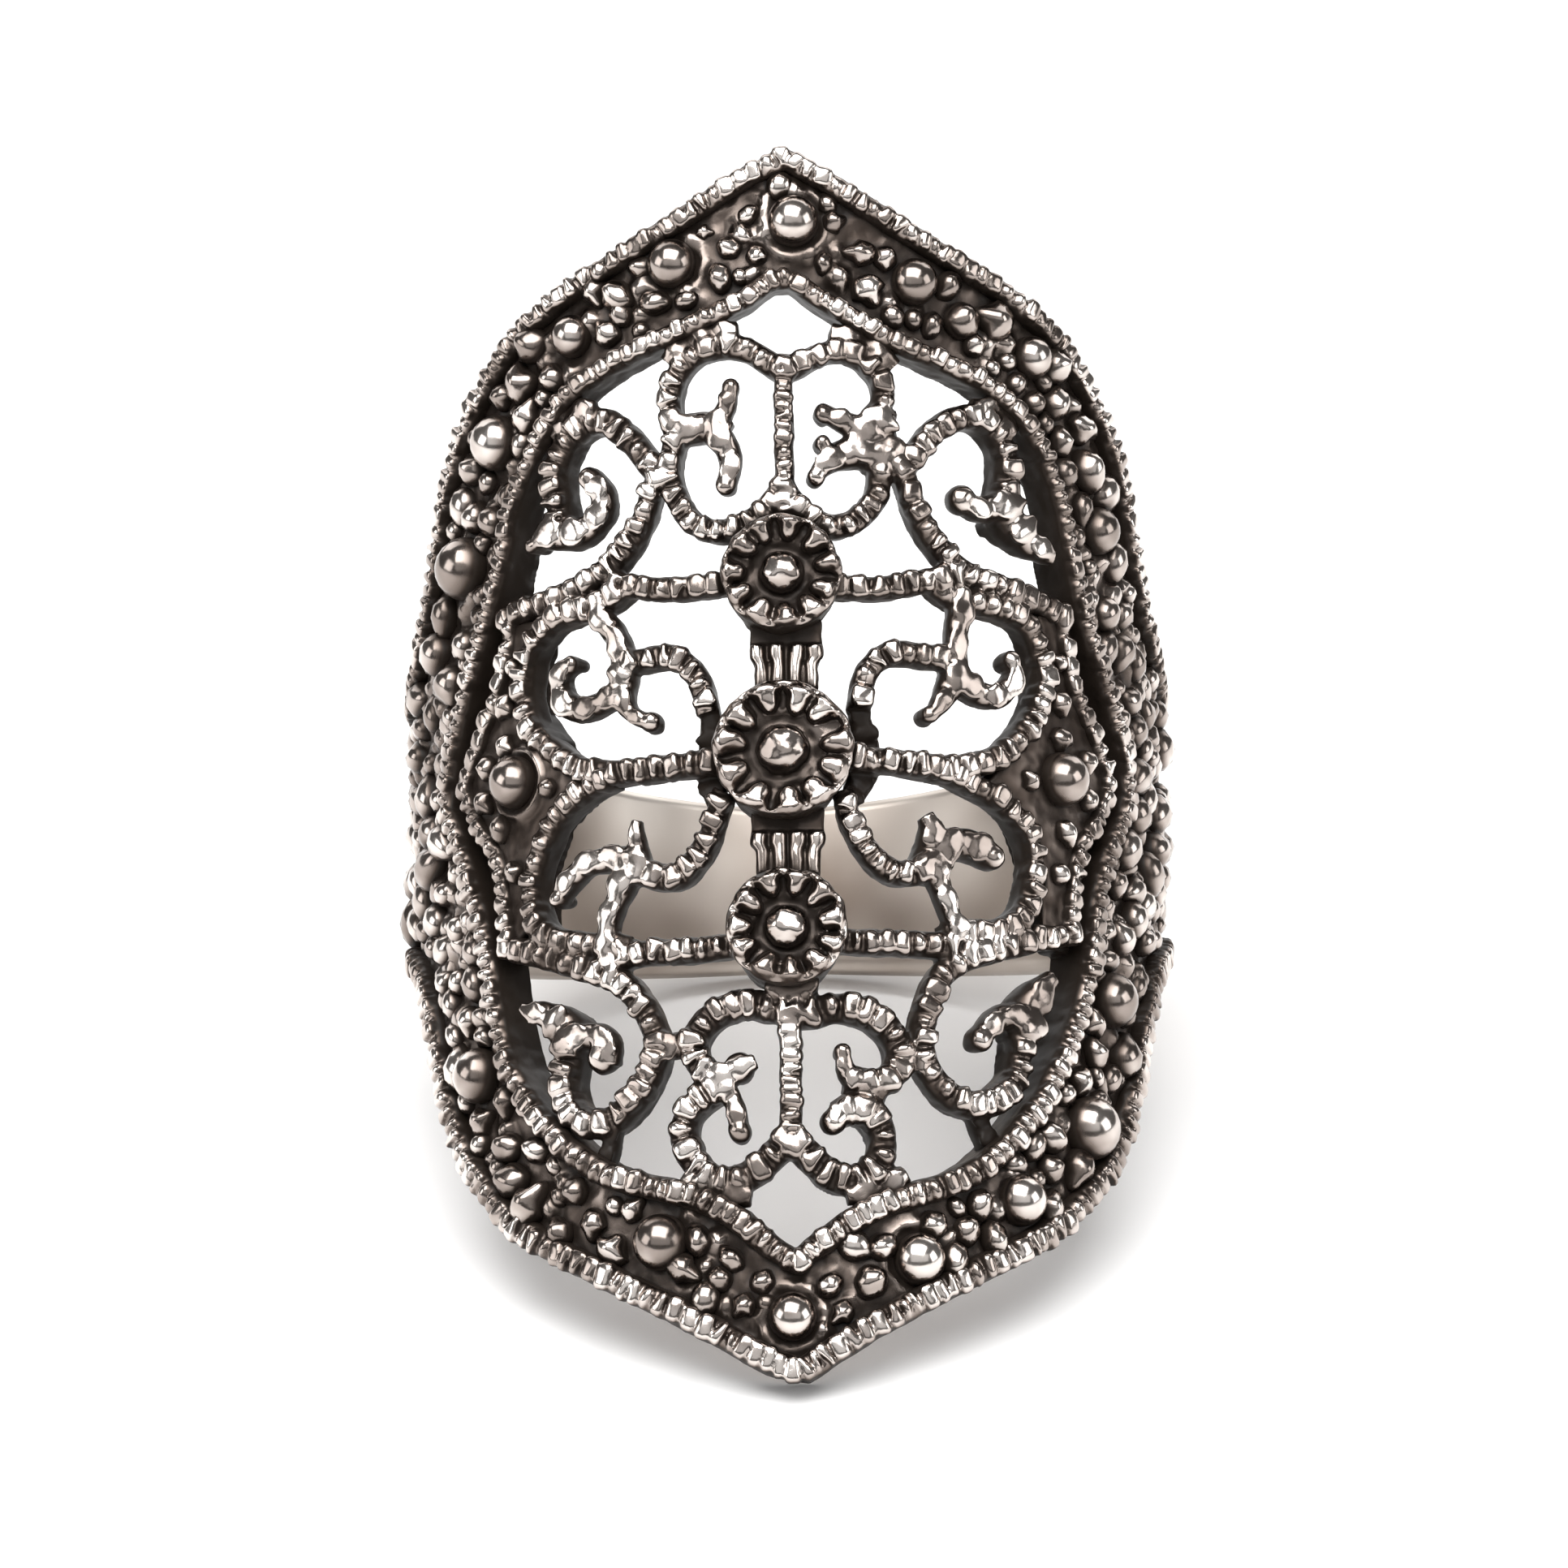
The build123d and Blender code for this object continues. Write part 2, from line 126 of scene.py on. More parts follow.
WIRES = {
    "axis bar above": (0.5, 0.5, [(0, 10.5), (0, 9.5), (0, 8.4), (0, 7.4), (0, 6.3)]),
    "axis bar below": (0.58, 0.58, [(0, -6.4), (0, -7.4), (0.02, -8.4), (0, -9.4), (0, -10.3)]),
    "left heart": (0.6, 0.62, [
        (0, 10.1), (-0.3, 10.3), (-0.9, 10.72), (-1.6, 10.88), (-2.3, 10.75), (-2.9, 10.3), (-3.15, 9.6),
        (-3.05, 9), (-2.95, 8.5), (-3.1, 8), (-3.15, 7.5), (-3, 7), (-2.7, 6.4), (-2.2, 6.05), (-1.6, 5.95),
        (-1.1, 6.1), (-0.6, 6.4), (-0.2, 6.85), (0, 7.2)]),
    "left side scroll": (0.66, 0.74, [
        (-3.2, 7.3), (-3.5, 7.6), (-3.9, 8.1), (-4.4, 8.7), (-4.9, 9.1), (-5.5, 9.25), (-6.1, 9), (-6.6, 8.4),
        (-6.75, 7.8), (-6.6, 7.1), (-6.5, 6.5), (-6.7, 6.25)]),
    "left arch": (0.62, 0.6, [
        (-3.3, 7.6), (-3.65, 7.3), (-3.8, 6.7), (-4.1, 6.1), (-4.6, 5.5), (-5.3, 5.05), (-6.2, 4.75), (-7, 4.6),
        (-7.9, 4.45), (-8.7, 4.3)]),
    "left upper bar": (0.6, 0.6, [
        (-1.2, 4.7), (-1.5, 4.6), (-2.5, 4.5), (-3.5, 4.55), (-4.3, 4.7), (-4.9, 4.85)]),
    "left upper loop": (0.62, 0.66, [
        (-4.5, 4.6), (-4.9, 4.35), (-5.6, 4.25), (-6.5, 4.15), (-7.1, 3.9), (-7.6, 3.4), (-7.85, 2.7),
        (-7.8, 1.9), (-7.5, 1.2), (-7, 0.75), (-6.4, 0.3), (-5.8, 0), (-5, -0.15), (-4, -0.15), (-3, -0.1),
        (-2.2, -0.1), (-1.5, 0)]),
    "left upper inner": (0.62, 0.62, [
        (-4.5, 2.75), (-4.2, 2.7), (-3.7, 2.75), (-3.2, 2.8), (-2.75, 2.6), (-2.35, 2.15), (-2.2, 1.6),
        (-2.12, 1.25)]),
    "left lower loop": (0.62, 0.62, [
        (-4.9, -0.25), (-5.6, -0.45), (-6.2, -0.8), (-6.8, -1.2), (-7.2, -1.8), (-7.5, -2.4), (-7.6, -3),
        (-7.5, -3.6), (-7.2, -4.1), (-6.6, -4.35), (-5.9, -4.5), (-5.2, -4.6), (-4.4, -4.75)]),
    "left lower inner": (0.62, 0.7, [
        (-1.7, -0.9), (-1.9, -1.4), (-2.1, -2), (-2.45, -2.6), (-2.9, -2.95), (-3.3, -3), (-3.8, -2.9),
        (-4.35, -2.7)]),
    "left lower bar": (0.64, 0.64, [
        (-1.1, -4.75), (-1.5, -4.85), (-2.5, -4.92), (-3.5, -4.9), (-4.6, -4.9), (-5.2, -5.1)]),
    "left lower arch": (0.62, 0.76, [
        (-8.7, -4.2), (-8.3, -4.3), (-7.5, -4.6), (-6.8, -4.8), (-6.2, -5), (-5.6, -5.2), (-5, -5.4),
        (-4.5, -5.7), (-4.1, -6.2), (-3.8, -6.7), (-3.6, -7.2), (-3.6, -7.5), (-3.8, -8), (-4.3, -8.7),
        (-4.9, -9.15), (-5.6, -9.25), (-6.2, -8.9), (-6.5, -8.3), (-6.4, -7.6), (-6.15, -7.05)]),
    "left lower heart": (0.76, 0.72, [
        (0, -6.5), (-0.4, -6.5), (-0.9, -6.35), (-1.5, -6.35), (-2.1, -6.6), (-2.6, -7.1), (-2.6, -7.7),
        (-2.2, -8.2), (-1.7, -8.3)]),
    "left bowl": (0.72, 0.76, [
        (-1.9, -8.5), (-2.2, -8.65), (-2.75, -9), (-2.95, -9.55), (-2.75, -10.2), (-2.3, -10.75),
        (-1.7, -10.95), (-1.1, -10.75), (-0.5, -10.3), (0, -9.8)]),
    "right heart": (0.58, 0.6, [
        (0, 10.1), (0.4, 10.3), (1, 10.6), (1.6, 10.75), (2.2, 10.5), (2.65, 10), (2.75, 9.5), (2.6, 9.1),
        (2.4, 8.8)]),
    "right bowl": (0.66, 0.6, [
        (2.8, 8.3), (2.75, 8), (2.6, 7.4), (2.55, 6.9), (2.2, 6.4), (1.7, 6.1), (1.1, 6.05), (0.6, 6.3),
        (0.2, 6.7), (0, 7.1)]),
    "right side scroll": (0.58, 0.74, [
        (2.9, 7.6), (3.3, 7.6), (3.7, 8.2), (4.2, 8.75), (4.8, 9.1), (5.5, 9.25), (6.1, 8.95), (6.45, 8.4),
        (6.5, 7.8), (6.4, 7.2), (6.25, 6.8)]),
    "right arch": (0.6, 0.62, [
        (3.1, 7.7), (3.35, 7.4), (3.5, 6.8), (3.8, 6.2), (4.3, 5.6), (4.9, 5.1), (5.5, 4.9), (6.2, 4.8),
        (6.9, 4.6), (7.6, 4.5), (8.1, 4.3), (8.6, 4.2)]),
    "right upper bar": (0.62, 0.62, [
        (1.1, 4.5), (1.5, 4.45), (2.5, 4.45), (3.3, 4.6), (4.2, 4.8), (4.9, 4.95)]),
    "right upper loop": (0.62, 0.66, [
        (4.2, 4.6), (4.6, 4.35), (5, 4.3), (5.8, 4.25), (6.5, 4.15), (7.1, 3.9), (7.5, 3.3), (7.65, 2.7),
        (7.6, 2.1), (7.3, 1.5), (6.9, 0.95), (6.4, 0.5), (5.8, 0.15), (5.1, -0.05), (4.3, -0.15), (3.4, -0.1),
        (2.6, 0), (1.7, 0)]),
    "right upper inner": (0.62, 0.62, [
        (4.4, 2.75), (4, 2.75), (3.3, 2.8), (2.7, 2.75), (2.25, 2.4), (2, 1.9), (1.95, 1.3)]),
    "right lower loop": (0.6, 0.6, [
        (4, -0.2), (4.6, -0.3), (5.3, -0.55), (6, -0.8), (6.6, -1.2), (7.1, -1.8), (7.2, -2.4), (7.1, -3),
        (6.9, -3.6), (6.4, -4.1), (5.7, -4.3), (5, -4.35), (4.3, -4.5)]),
    "right lower inner": (0.6, 0.66, [
        (1.5, -0.9), (1.6, -1.4), (1.85, -2), (2.2, -2.5), (2.7, -2.9), (3.3, -3), (3.9, -2.8)]),
    "right lower bar": (0.66, 0.66, [
        (1.1, -4.7), (1.5, -4.75), (2.5, -4.78), (3.4, -4.75), (4.3, -4.75), (5.2, -4.9)]),
    "right lower arch": (0.62, 0.74, [
        (8.7, -4), (8, -4.2), (7.4, -4.3), (6.8, -4.5), (6.2, -4.65), (5.5, -4.85), (4.8, -5.1), (4.2, -5.5),
        (3.9, -6.1), (3.65, -6.7), (3.6, -7.3), (3.7, -7.9), (4.1, -8.4), (4.7, -8.8), (5.4, -8.85), (6, -8.6),
        (6.5, -8.1), (6.65, -7.5), (6.75, -7), (6.8, -6.5)]),
    "right lower heart": (0.78, 0.72, [
        (0, -6.6), (0.5, -6.65), (1.1, -6.45), (1.8, -6.5), (2.5, -6.8), (2.95, -7.3), (3.05, -7.9),
        (2.6, -8.35), (2, -8.4), (1.55, -8.3)]),
    "right lower bowl": (0.76, 0.78, [
        (1.3, -9.2), (1.6, -9), (2.15, -9.15), (2.5, -9.6), (2.5, -10.2), (2.2, -10.7), (1.6, -10.95),
        (1, -10.75), (0.5, -10.3), (0, -9.8)]),
    "left lozenge ridge": (0.52, 0.52, [
        (-8.25, 4.3), (-8.45, 3.3), (-8.65, 2.4), (-9.2, 1.8), (-9.65, 1.2), (-10, 0.7), (-10.35, 0.1),
        (-9.95, -0.6), (-9.3, -1.4), (-8.8, -1.9), (-8.55, -3), (-8.35, -4.3)]),
    "right lozenge ridge": (0.52, 0.52, [
        (8.25, 4.3), (8.45, 3.3), (8.65, 2.4), (9.2, 1.8), (9.65, 1.2), (10, 0.7), (10.35, 0.1), (9.95, -0.6),
        (9.3, -1.4), (8.8, -1.9), (8.55, -3), (8.35, -4.2)]),
}

# The smoother scroll ends, each a middle line with its own width at each point

SPURS = {
    "left heart spur": [
        (-3.05, 8.65, 0.6), (-2.6, 8.72, 0.6), (-2.2, 8.75, 0.58), (-1.75, 8.7, 0.52), (-1.5, 8.55, 0.4)],
    "left heart upper prong": [
        (-1.95, 8.7, 0.5), (-1.7, 8.95, 0.42), (-1.52, 9.2, 0.36), (-1.42, 9.5, 0.32), (-1.4, 9.75, 0.24)],
    "left heart lower prong": [
        (-1.95, 8.65, 0.55), (-1.6, 8.3, 0.48), (-1.42, 7.85, 0.44), (-1.42, 7.5, 0.4), (-1.55, 7.15, 0.36)],
    "left upper hook": [
        (-7.25, 6.1, 0.25), (-6.9, 6.3, 0.5), (-6.5, 6.38, 0.65), (-5.9, 6.25, 0.56), (-5.35, 6.4, 0.5),
        (-5.02, 6.85, 0.5), (-5.12, 7.35, 0.46), (-5.45, 7.65, 0.42)],
    "left upper branch": [
        (-5.3, 4.1, 0.42), (-4.95, 3.75, 0.44), (-4.68, 3.35, 0.44), (-4.52, 2.95, 0.46), (-4.48, 2.5, 0.52),
        (-4.55, 2.05, 0.52), (-4.42, 1.55, 0.38), (-4.12, 1.2, 0.32), (-3.75, 1.08, 0.3)],
    "left upper curl": [
        (-4.6, 2.0, 0.5), (-4.95, 1.75, 0.46), (-5.5, 1.6, 0.46), (-6.05, 1.62, 0.48), (-6.45, 1.95, 0.48),
        (-6.5, 2.35, 0.44), (-6.3, 2.7, 0.38), (-5.98, 2.82, 0.32)],
    "left lower tip": [(-4.15, -2.75, 0.58), (-4.1, -2.4, 0.48), (-4.05, -2, 0.3), (-4.02, -1.55, 0.2)],
    "left lower curl": [
        (-4.3, -2.55, 0.52), (-4.7, -2.4, 0.48), (-5.2, -2.4, 0.45), (-5.75, -2.5, 0.44), (-6.25, -2.9, 0.42),
        (-6.5, -3.3, 0.36)],
    "left lower leg": [
        (-4.4, -2.7, 0.55), (-4.5, -3.05, 0.5), (-4.75, -3.55, 0.42), (-4.95, -4.05, 0.4), (-5, -4.5, 0.42),
        (-5, -4.85, 0.42)],
    "left lower hook": [
        (-6.3, -7.1, 0.55), (-5.95, -6.92, 0.5), (-5.5, -6.9, 0.46), (-5.1, -7, 0.44), (-4.85, -7.35, 0.42),
        (-4.95, -7.65, 0.4)],
    "left lower leaf": [
        (-6.1, -7.2, 0.6), (-6.35, -6.85, 0.85), (-6.65, -6.5, 0.75), (-7, -6.25, 0.5), (-7.35, -6.12, 0.35),
        (-7.65, -6.02, 0.2)],
    "left lower heart spur": [
        (-2.2, -8.2, 0.5), (-1.85, -8.25, 0.42), (-1.5, -8.1, 0.4), (-1.15, -7.98, 0.32), (-0.95, -7.9, 0.24)],
    "left lower heart leg": [
        (-1.9, -8.35, 0.42), (-1.65, -8.6, 0.38), (-1.45, -8.95, 0.36), (-1.38, -9.3, 0.36),
        (-1.35, -9.6, 0.36)],
    "right heart neck": [
        (2.75, 9.2, 0.55), (2.6, 8.95, 0.7), (2.5, 8.6, 0.9), (2.55, 8.3, 0.9), (2.6, 7.9, 0.75),
        (2.6, 7.6, 0.6)],
    "right upper prong": [
        (2.6, 8.55, 0.62), (2.2, 8.6, 0.5), (1.7, 8.75, 0.42), (1.35, 8.88, 0.36), (1.1, 8.98, 0.3)],
    "right lower prong": [
        (2.5, 8.3, 0.75), (2.1, 8.15, 0.7), (1.7, 8, 0.58), (1.3, 7.82, 0.46), (1, 7.6, 0.38),
        (0.82, 7.35, 0.3)],
    "right upper hook": [
        (6.5, 7.1, 0.6), (6.25, 6.92, 0.56), (5.9, 6.82, 0.5), (5.5, 6.75, 0.46), (5.15, 6.78, 0.42),
        (4.95, 6.92, 0.4)],
    "right upper leaf": [
        (6.3, 7.15, 0.6), (6.45, 6.8, 0.85), (6.75, 6.4, 0.75), (7.15, 6.05, 0.55), (7.5, 5.88, 0.42),
        (7.82, 5.78, 0.32)],
    "right upper branch": [
        (4.9, 4.4, 0.5), (4.82, 3.85, 0.46), (4.68, 3.3, 0.42), (4.68, 2.8, 0.44), (4.7, 2.45, 0.52),
        (4.6, 2.1, 0.52), (4.42, 1.85, 0.46), (4.15, 1.45, 0.36), (3.88, 1.2, 0.28)],
    "right upper curl": [
        (4.75, 2.25, 0.5), (5.05, 2, 0.46), (5.45, 1.85, 0.45), (5.9, 1.8, 0.45), (6.3, 2.05, 0.43),
        (6.5, 2.45, 0.38), (6.4, 2.8, 0.3)],
    "right lower tip": [
        (3.9, -3, 0.8), (3.95, -2.6, 0.78), (3.98, -2.2, 0.62), (3.88, -1.8, 0.44), (3.72, -1.5, 0.32)],
    "right lower curl": [
        (3.9, -2.5, 0.7), (4.25, -2.18, 0.62), (4.7, -2.08, 0.58), (5.2, -2.1, 0.56), (5.65, -2.32, 0.52)],
    "right lower leg": [
        (3.9, -2.6, 0.5), (4.05, -3.05, 0.43), (4.25, -3.6, 0.38), (4.5, -4.1, 0.38), (4.7, -4.6, 0.42)],
    "right lower hook": [
        (6.8, -6.5, 0.55), (6.5, -6.45, 0.5), (6.1, -6.45, 0.48), (5.65, -6.65, 0.44), (5.3, -7.05, 0.4)],
    "right lower leaf": [
        (6.7, -7.1, 0.65), (6.82, -6.6, 0.85), (6.95, -6.2, 0.75), (7.2, -5.8, 0.58), (7.4, -5.6, 0.45),
        (7.62, -5.38, 0.34)],
    "right lower heart tip": [
        (1.9, -8.42, 0.44), (1.6, -8.3, 0.42), (1.45, -8.1, 0.38), (1.4, -7.9, 0.32), (1.38, -7.65, 0.24)],
    "right lower bowl tip": [(1.7, -9.02, 0.46), (1.4, -9.1, 0.44), (1.2, -9.25, 0.4), (1.12, -9.42, 0.36)],
    "left heart link": [(-2.9, 7.6, 0.5), (-3.2, 7.5, 0.55), (-3.5, 7.45, 0.5)],
    "left lower link": [(-2.5, -7.3, 0.5), (-3, -7.35, 0.5), (-3.5, -7.35, 0.5)],
    "right lower link": [(2.9, -7.6, 0.5), (3.3, -7.7, 0.5), (3.7, -7.8, 0.5)],
    "right bowl link": [(2.4, -8.35, 0.5), (2.25, -8.7, 0.5), (2.1, -9.1, 0.5)],
    "lower rosette neck": [(0.1, -5.5, 1.0), (0.1, -6.1, 1.0), (0.05, -6.55, 0.75), (0, -6.9, 0.45)],
    "upper left web": [
        (-1.25, 11.2, 0.38), (-1.7, 11.2, 0.5), (-2.35, 11, 0.56), (-2.85, 10.8, 0.56), (-3.1, 10.5, 0.44)],
    "upper right web": [
        (1.3, 11.15, 0.38), (1.7, 11.05, 0.5), (2.2, 10.85, 0.56), (2.65, 10.6, 0.56), (2.95, 10.3, 0.44)],
    "left scroll web": [(-5.3, 9.5, 0.32), (-5.8, 9.5, 0.44), (-6.3, 9.3, 0.5), (-6.7, 9, 0.38)],
    "right scroll web": [(5.3, 9.45, 0.32), (5.8, 9.45, 0.44), (6.25, 9.25, 0.5), (6.6, 8.9, 0.38)],
    "lower left web": [(-1.1, -11.3, 0.38), (-1.8, -11.25, 0.56), (-2.4, -11.05, 0.56), (-2.85, -10.8, 0.38)],
    "lower right web": [(1.5, -11.3, 0.38), (2, -11.2, 0.56), (2.55, -11.05, 0.56), (3, -10.75, 0.38)],
}

# The low webs between the wires, each a middle line with its own width at each point

WEBS = {
    "left hub web": [
        (-2.1, 1.5, 0.55), (-2.1, 1, 0.7), (-2.12, 0.6, 0.85), (-2.2, 0.1, 1.15), (-2.15, -0.5, 0.95),
        (-1.95, -1.1, 0.6)],
    "right hub web": [
        (1.95, 1.5, 0.55), (2.05, 1, 0.75), (2.2, 0.6, 0.95), (2.3, 0.1, 1.25), (2.1, -0.5, 0.95),
        (1.7, -1.1, 0.6)],
    "left lower scroll web": [(-4.9, -9.2, 0.5), (-5.1, -9.7, 0.6), (-5.3, -10.3, 0.6)],
    "right lower scroll web": [(5.2, -8.9, 0.6), (5.6, -9.4, 0.7), (5.8, -9.9, 0.7)],
}

# Round tips on the scroll ends, as (across, along, radius)

SPUR_BALLS = [
    (-1.4, 9.72, 0.2), (-1.55, 7.15, 0.24), (-5.45, 7.65, 0.26), (-3.65, 1.05, 0.24), (-5.98, 2.82, 0.17),
    (-6.5, -3.3, 0.2), (-5.15, -7.5, 0.4), (-1.35, -8.02, 0.36), (-1.35, -9.65, 0.27), (1.05, 8.98, 0.24),
    (0.82, 7.32, 0.22), (4.92, 6.93, 0.34), (3.82, 1.18, 0.22), (6.38, 2.8, 0.25), (5.72, -2.38, 0.3),
    (5.25, -7.15, 0.3), (1.38, -7.65, 0.2), (1.13, -9.42, 0.3), (1.0, 8.2, 0.2), (-7.3, 6.08, 0.18),
]

# The charted beads of the border, as (across, along, radius)

BORDER_BEADS = [
    (0.3, 14.1, 0.65), (-0.9, 14.3, 0.25), (-2.1, 13.9, 0.2), (-1.45, 13.45, 0.28), (-0.7, 13.2, 0.25),
    (-1.7, 12.65, 0.33), (-3, 13.1, 0.62), (-3.9, 13.1, 0.3), (-4.6, 12.4, 0.4), (-5.3, 12.6, 0.35),
    (-3.5, 12.1, 0.35), (-4.5, 11.9, 0.3), (-4.9, 11.45, 0.35), (-6, 11.5, 0.55), (-7.4, 11.5, 0.45),
    (-7.8, 10.5, 0.45), (-6.7, 10.5, 0.35), (-8.6, 10.3, 0.35), (-7.6, 9.6, 0.4), (-8.8, 9.1, 0.7),
    (-9.9, 8.6, 0.4), (-10.3, 6, 0.8), (1.4, 14.1, 0.28), (1.1, 13, 0.25), (2.1, 13.3, 0.35), (2.8, 13.2, 0.3),
    (2.3, 12.3, 0.4), (3.6, 12.6, 0.6), (4.6, 12.6, 0.35), (4.1, 11.5, 0.3), (5, 11.7, 0.45), (6, 11.8, 0.5),
    (5.4, 11.1, 0.3), (7.3, 11, 0.55), (8.2, 10.9, 0.45), (8.2, 9.9, 0.4), (7.4, 9.8, 0.3), (9.3, 9.4, 0.4),
    (8.4, 8.9, 0.35), (9.5, 8.3, 0.5), (10, 6.8, 0.6), (0, -14.4, 0.6), (-1.3, -14.1, 0.3), (-1.9, -13.4, 0.3),
    (-0.8, -13.5, 0.3), (-1.6, -12.9, 0.3), (-2.9, -13.1, 0.4), (-3.5, -12.4, 0.7), (-2.5, -12.4, 0.35),
    (-4.9, -12.5, 0.4), (-5.5, -11.8, 0.35), (-4.3, -11.5, 0.3), (-6.1, -10.9, 0.35), (-6.6, -11.9, 0.35),
    (-7.6, -11.1, 0.5), (-8.3, -10.4, 0.45), (-7.4, -9.7, 0.35), (-8.5, -9.5, 0.4), (-9.6, -8.7, 0.35),
    (-8.6, -8.3, 0.35), (-9.7, -7.5, 0.7), (-9.5, -6.5, 0.3), (-10.2, -6, 0.35), (1, -13.6, 0.3),
    (1.3, -14.3, 0.3), (2.1, -13.5, 0.4), (2.4, -12.6, 0.35), (3.4, -12.9, 0.65), (4.4, -12.9, 0.4),
    (3.8, -12, 0.35), (4.8, -12.1, 0.35), (5.6, -12.3, 0.4), (5.2, -11.4, 0.35), (6.5, -11.2, 0.65),
    (7.5, -11.3, 0.4), (7.6, -10.3, 0.35), (8.6, -10.2, 0.45), (7.6, -9.5, 0.4), (9.1, -9.1, 0.8),
    (8.8, -7.9, 0.35), (9.5, -7.1, 0.35), (9.4, -6.3, 0.35), (10.3, -5.6, 0.7),
]
LOZENGE_BEADS = [
    (-8, -0.05, 0.65), (-8.4, 2, 0.3), (-8.4, 0.95, 0.28), (-6.85, -0.35, 0.24), (-8.6, -1.2, 0.3),
    (-9.3, -0.4, 0.3), (-9.2, 0.5, 0.28), (-8.1, 3, 0.22), (-8.1, -2.4, 0.25), (8.1, -0.1, 0.68),
    (7, -0.25, 0.25), (8.1, 0.95, 0.3), (8.25, -1.5, 0.3), (8.0, -2.6, 0.26), (8.1, 1.9, 0.3), (9.2, 0.5, 0.28),
    (9.2, -0.5, 0.28), (8.1, 3, 0.22),
]
BRIDGES = [(3.3, 1.7, 0.97), (-1.6, -3.1, 0.97)]
BEZELS = [(0.3, 14.1, 1.0), (-3, 13.1, 0.92), (3.4, -12.9, 0.98), (-8, -0.05, 0.92), (0, -14.4, 0.9)]

# The outlines of the lozenge and of the deeper floor outside it, of one side

LOZENGE_OUTLINE = [
    (7.4, 4.2), (8.35, 4.2), (8.6, 2.4), (9.6, 1.2), (10.3, 0.1), (9.6, -1.0), (8.7, -2.0), (8.4, -4.2),
    (7.4, -4.0), (7.5, -2.5), (6.8, -1.2), (5.6, -0.5), (6.7, 0.8), (7.6, 1.8), (7.6, 3.2),
]
RECESS_OUTLINE = [
    (8.0, 4.4), (9.0, 4.6), (9.8, 3.2), (10.6, 2), (11.35, 0), (10.4, -1.4), (9.4, -3.6), (9.1, -4.6),
    (8.0, -4.4), (8.2, -2.2), (9.2, -1.0), (9.8, 0.1), (9.2, 1.2), (8.3, 2.4),
]


# Handling, as with the mouse

def activate(*pieces):
    if bpy.context.mode != "OBJECT":
        bpy.ops.object.mode_set(mode="OBJECT")
    bpy.ops.object.select_all(action="DESELECT")
    for piece in pieces:
        piece.select_set(True)
    bpy.context.view_layer.objects.active = pieces[0]


def name_piece(name):
    piece = bpy.context.object
    piece.name = name
    piece.data.name = name
    return piece


def clear_selection(mesh):
    for parts in (mesh.vertices, mesh.edges, mesh.polygons):
        parts.foreach_set("select", [False] * len(parts))


def select_points(piece, wanted):
    """In edit mode, selects the points whose place passes the test."""
    activate(piece)
    bpy.ops.object.mode_set(mode="OBJECT")
    clear_selection(piece.data)
    for point in piece.data.vertices:
        point.select = wanted(point.co)
    bpy.ops.object.mode_set(mode="EDIT")
    bpy.ops.mesh.select_mode(type="VERT")


def select_edges(piece, wanted):
    """In edit mode, selects the edges whose two ends pass the test."""
    activate(piece)
    bpy.ops.object.mode_set(mode="EDIT")
    bpy.ops.mesh.select_mode(type="EDGE")
    bpy.ops.object.mode_set(mode="OBJECT")
    mesh = piece.data
    clear_selection(mesh)
    for edge in mesh.edges:
        first, second = (mesh.vertices[index].co for index in edge.vertices)
        edge.select = wanted(first, second)
    bpy.ops.object.mode_set(mode="EDIT")


def select_faces(piece, wanted):
    """In edit mode, selects the faces whose middle and normal pass the test."""
    activate(piece)
    bpy.ops.object.mode_set(mode="EDIT")
    bpy.ops.mesh.select_mode(type="FACE")
    bpy.ops.object.mode_set(mode="OBJECT")
    clear_selection(piece.data)
    for face in piece.data.polygons:
        face.select = wanted(face.center, face.normal)
    bpy.ops.object.mode_set(mode="EDIT")


def leave_edit():
    bpy.ops.object.mode_set(mode="OBJECT")


def apply_place(piece):
    activate(piece)
    bpy.ops.object.transform_apply(location=True, rotation=True, scale=True)


def apply_modifiers(piece):
    activate(piece)
    for modifier in list(piece.modifiers):
        bpy.ops.object.modifier_apply(modifier=modifier.name)


def twin(piece, place=(0, 0, 0), size=(1, 1, 1), turn=0.0):
    """A copy with its own mesh, turned about Z."""
    copied = piece.copy()
    copied.data = piece.data.copy()
    bpy.context.scene.collection.objects.link(copied)
    copied.location = place
    copied.scale = size
    copied.rotation_euler = (0, 0, turn)
    return copied


def join(name, pieces):
    activate(*pieces)
    if len(pieces) > 1:
        bpy.ops.object.join()
    piece = name_piece(name)
    apply_place(piece)
    return piece


def discard(piece):
    bpy.data.objects.remove(piece)


# Lines, and the bars with lumps that run along them

def line(points, closed=False):
    """A flat curve through the points; a third number in a point is its thickness."""
    bpy.ops.curve.primitive_nurbs_path_add(location=(0, 0, 0))
    path = bpy.context.object
    path.data.dimensions = "2D"
    path.data.resolution_u = 6
    path.data.splines.clear()
    spline = path.data.splines.new("NURBS")
    spline.points.add(len(points) - 1)
    for place, point in zip(points, spline.points):
        point.co = (place[0], place[1], 0, 1)
        point.radius = place[2] if len(place) > 2 else 1
    spline.use_cyclic_u = closed
    spline.order_u = 3
    spline.use_endpoint_u = not closed
    return path


def line_length(path):
    mesh = bpy.data.meshes.new_from_object(path)
    total = 0
    for edge in mesh.edges:
        first, second = (mesh.vertices[index].co for index in edge.vertices)
        total += (first - second).length
    bpy.data.meshes.remove(mesh)
    return total


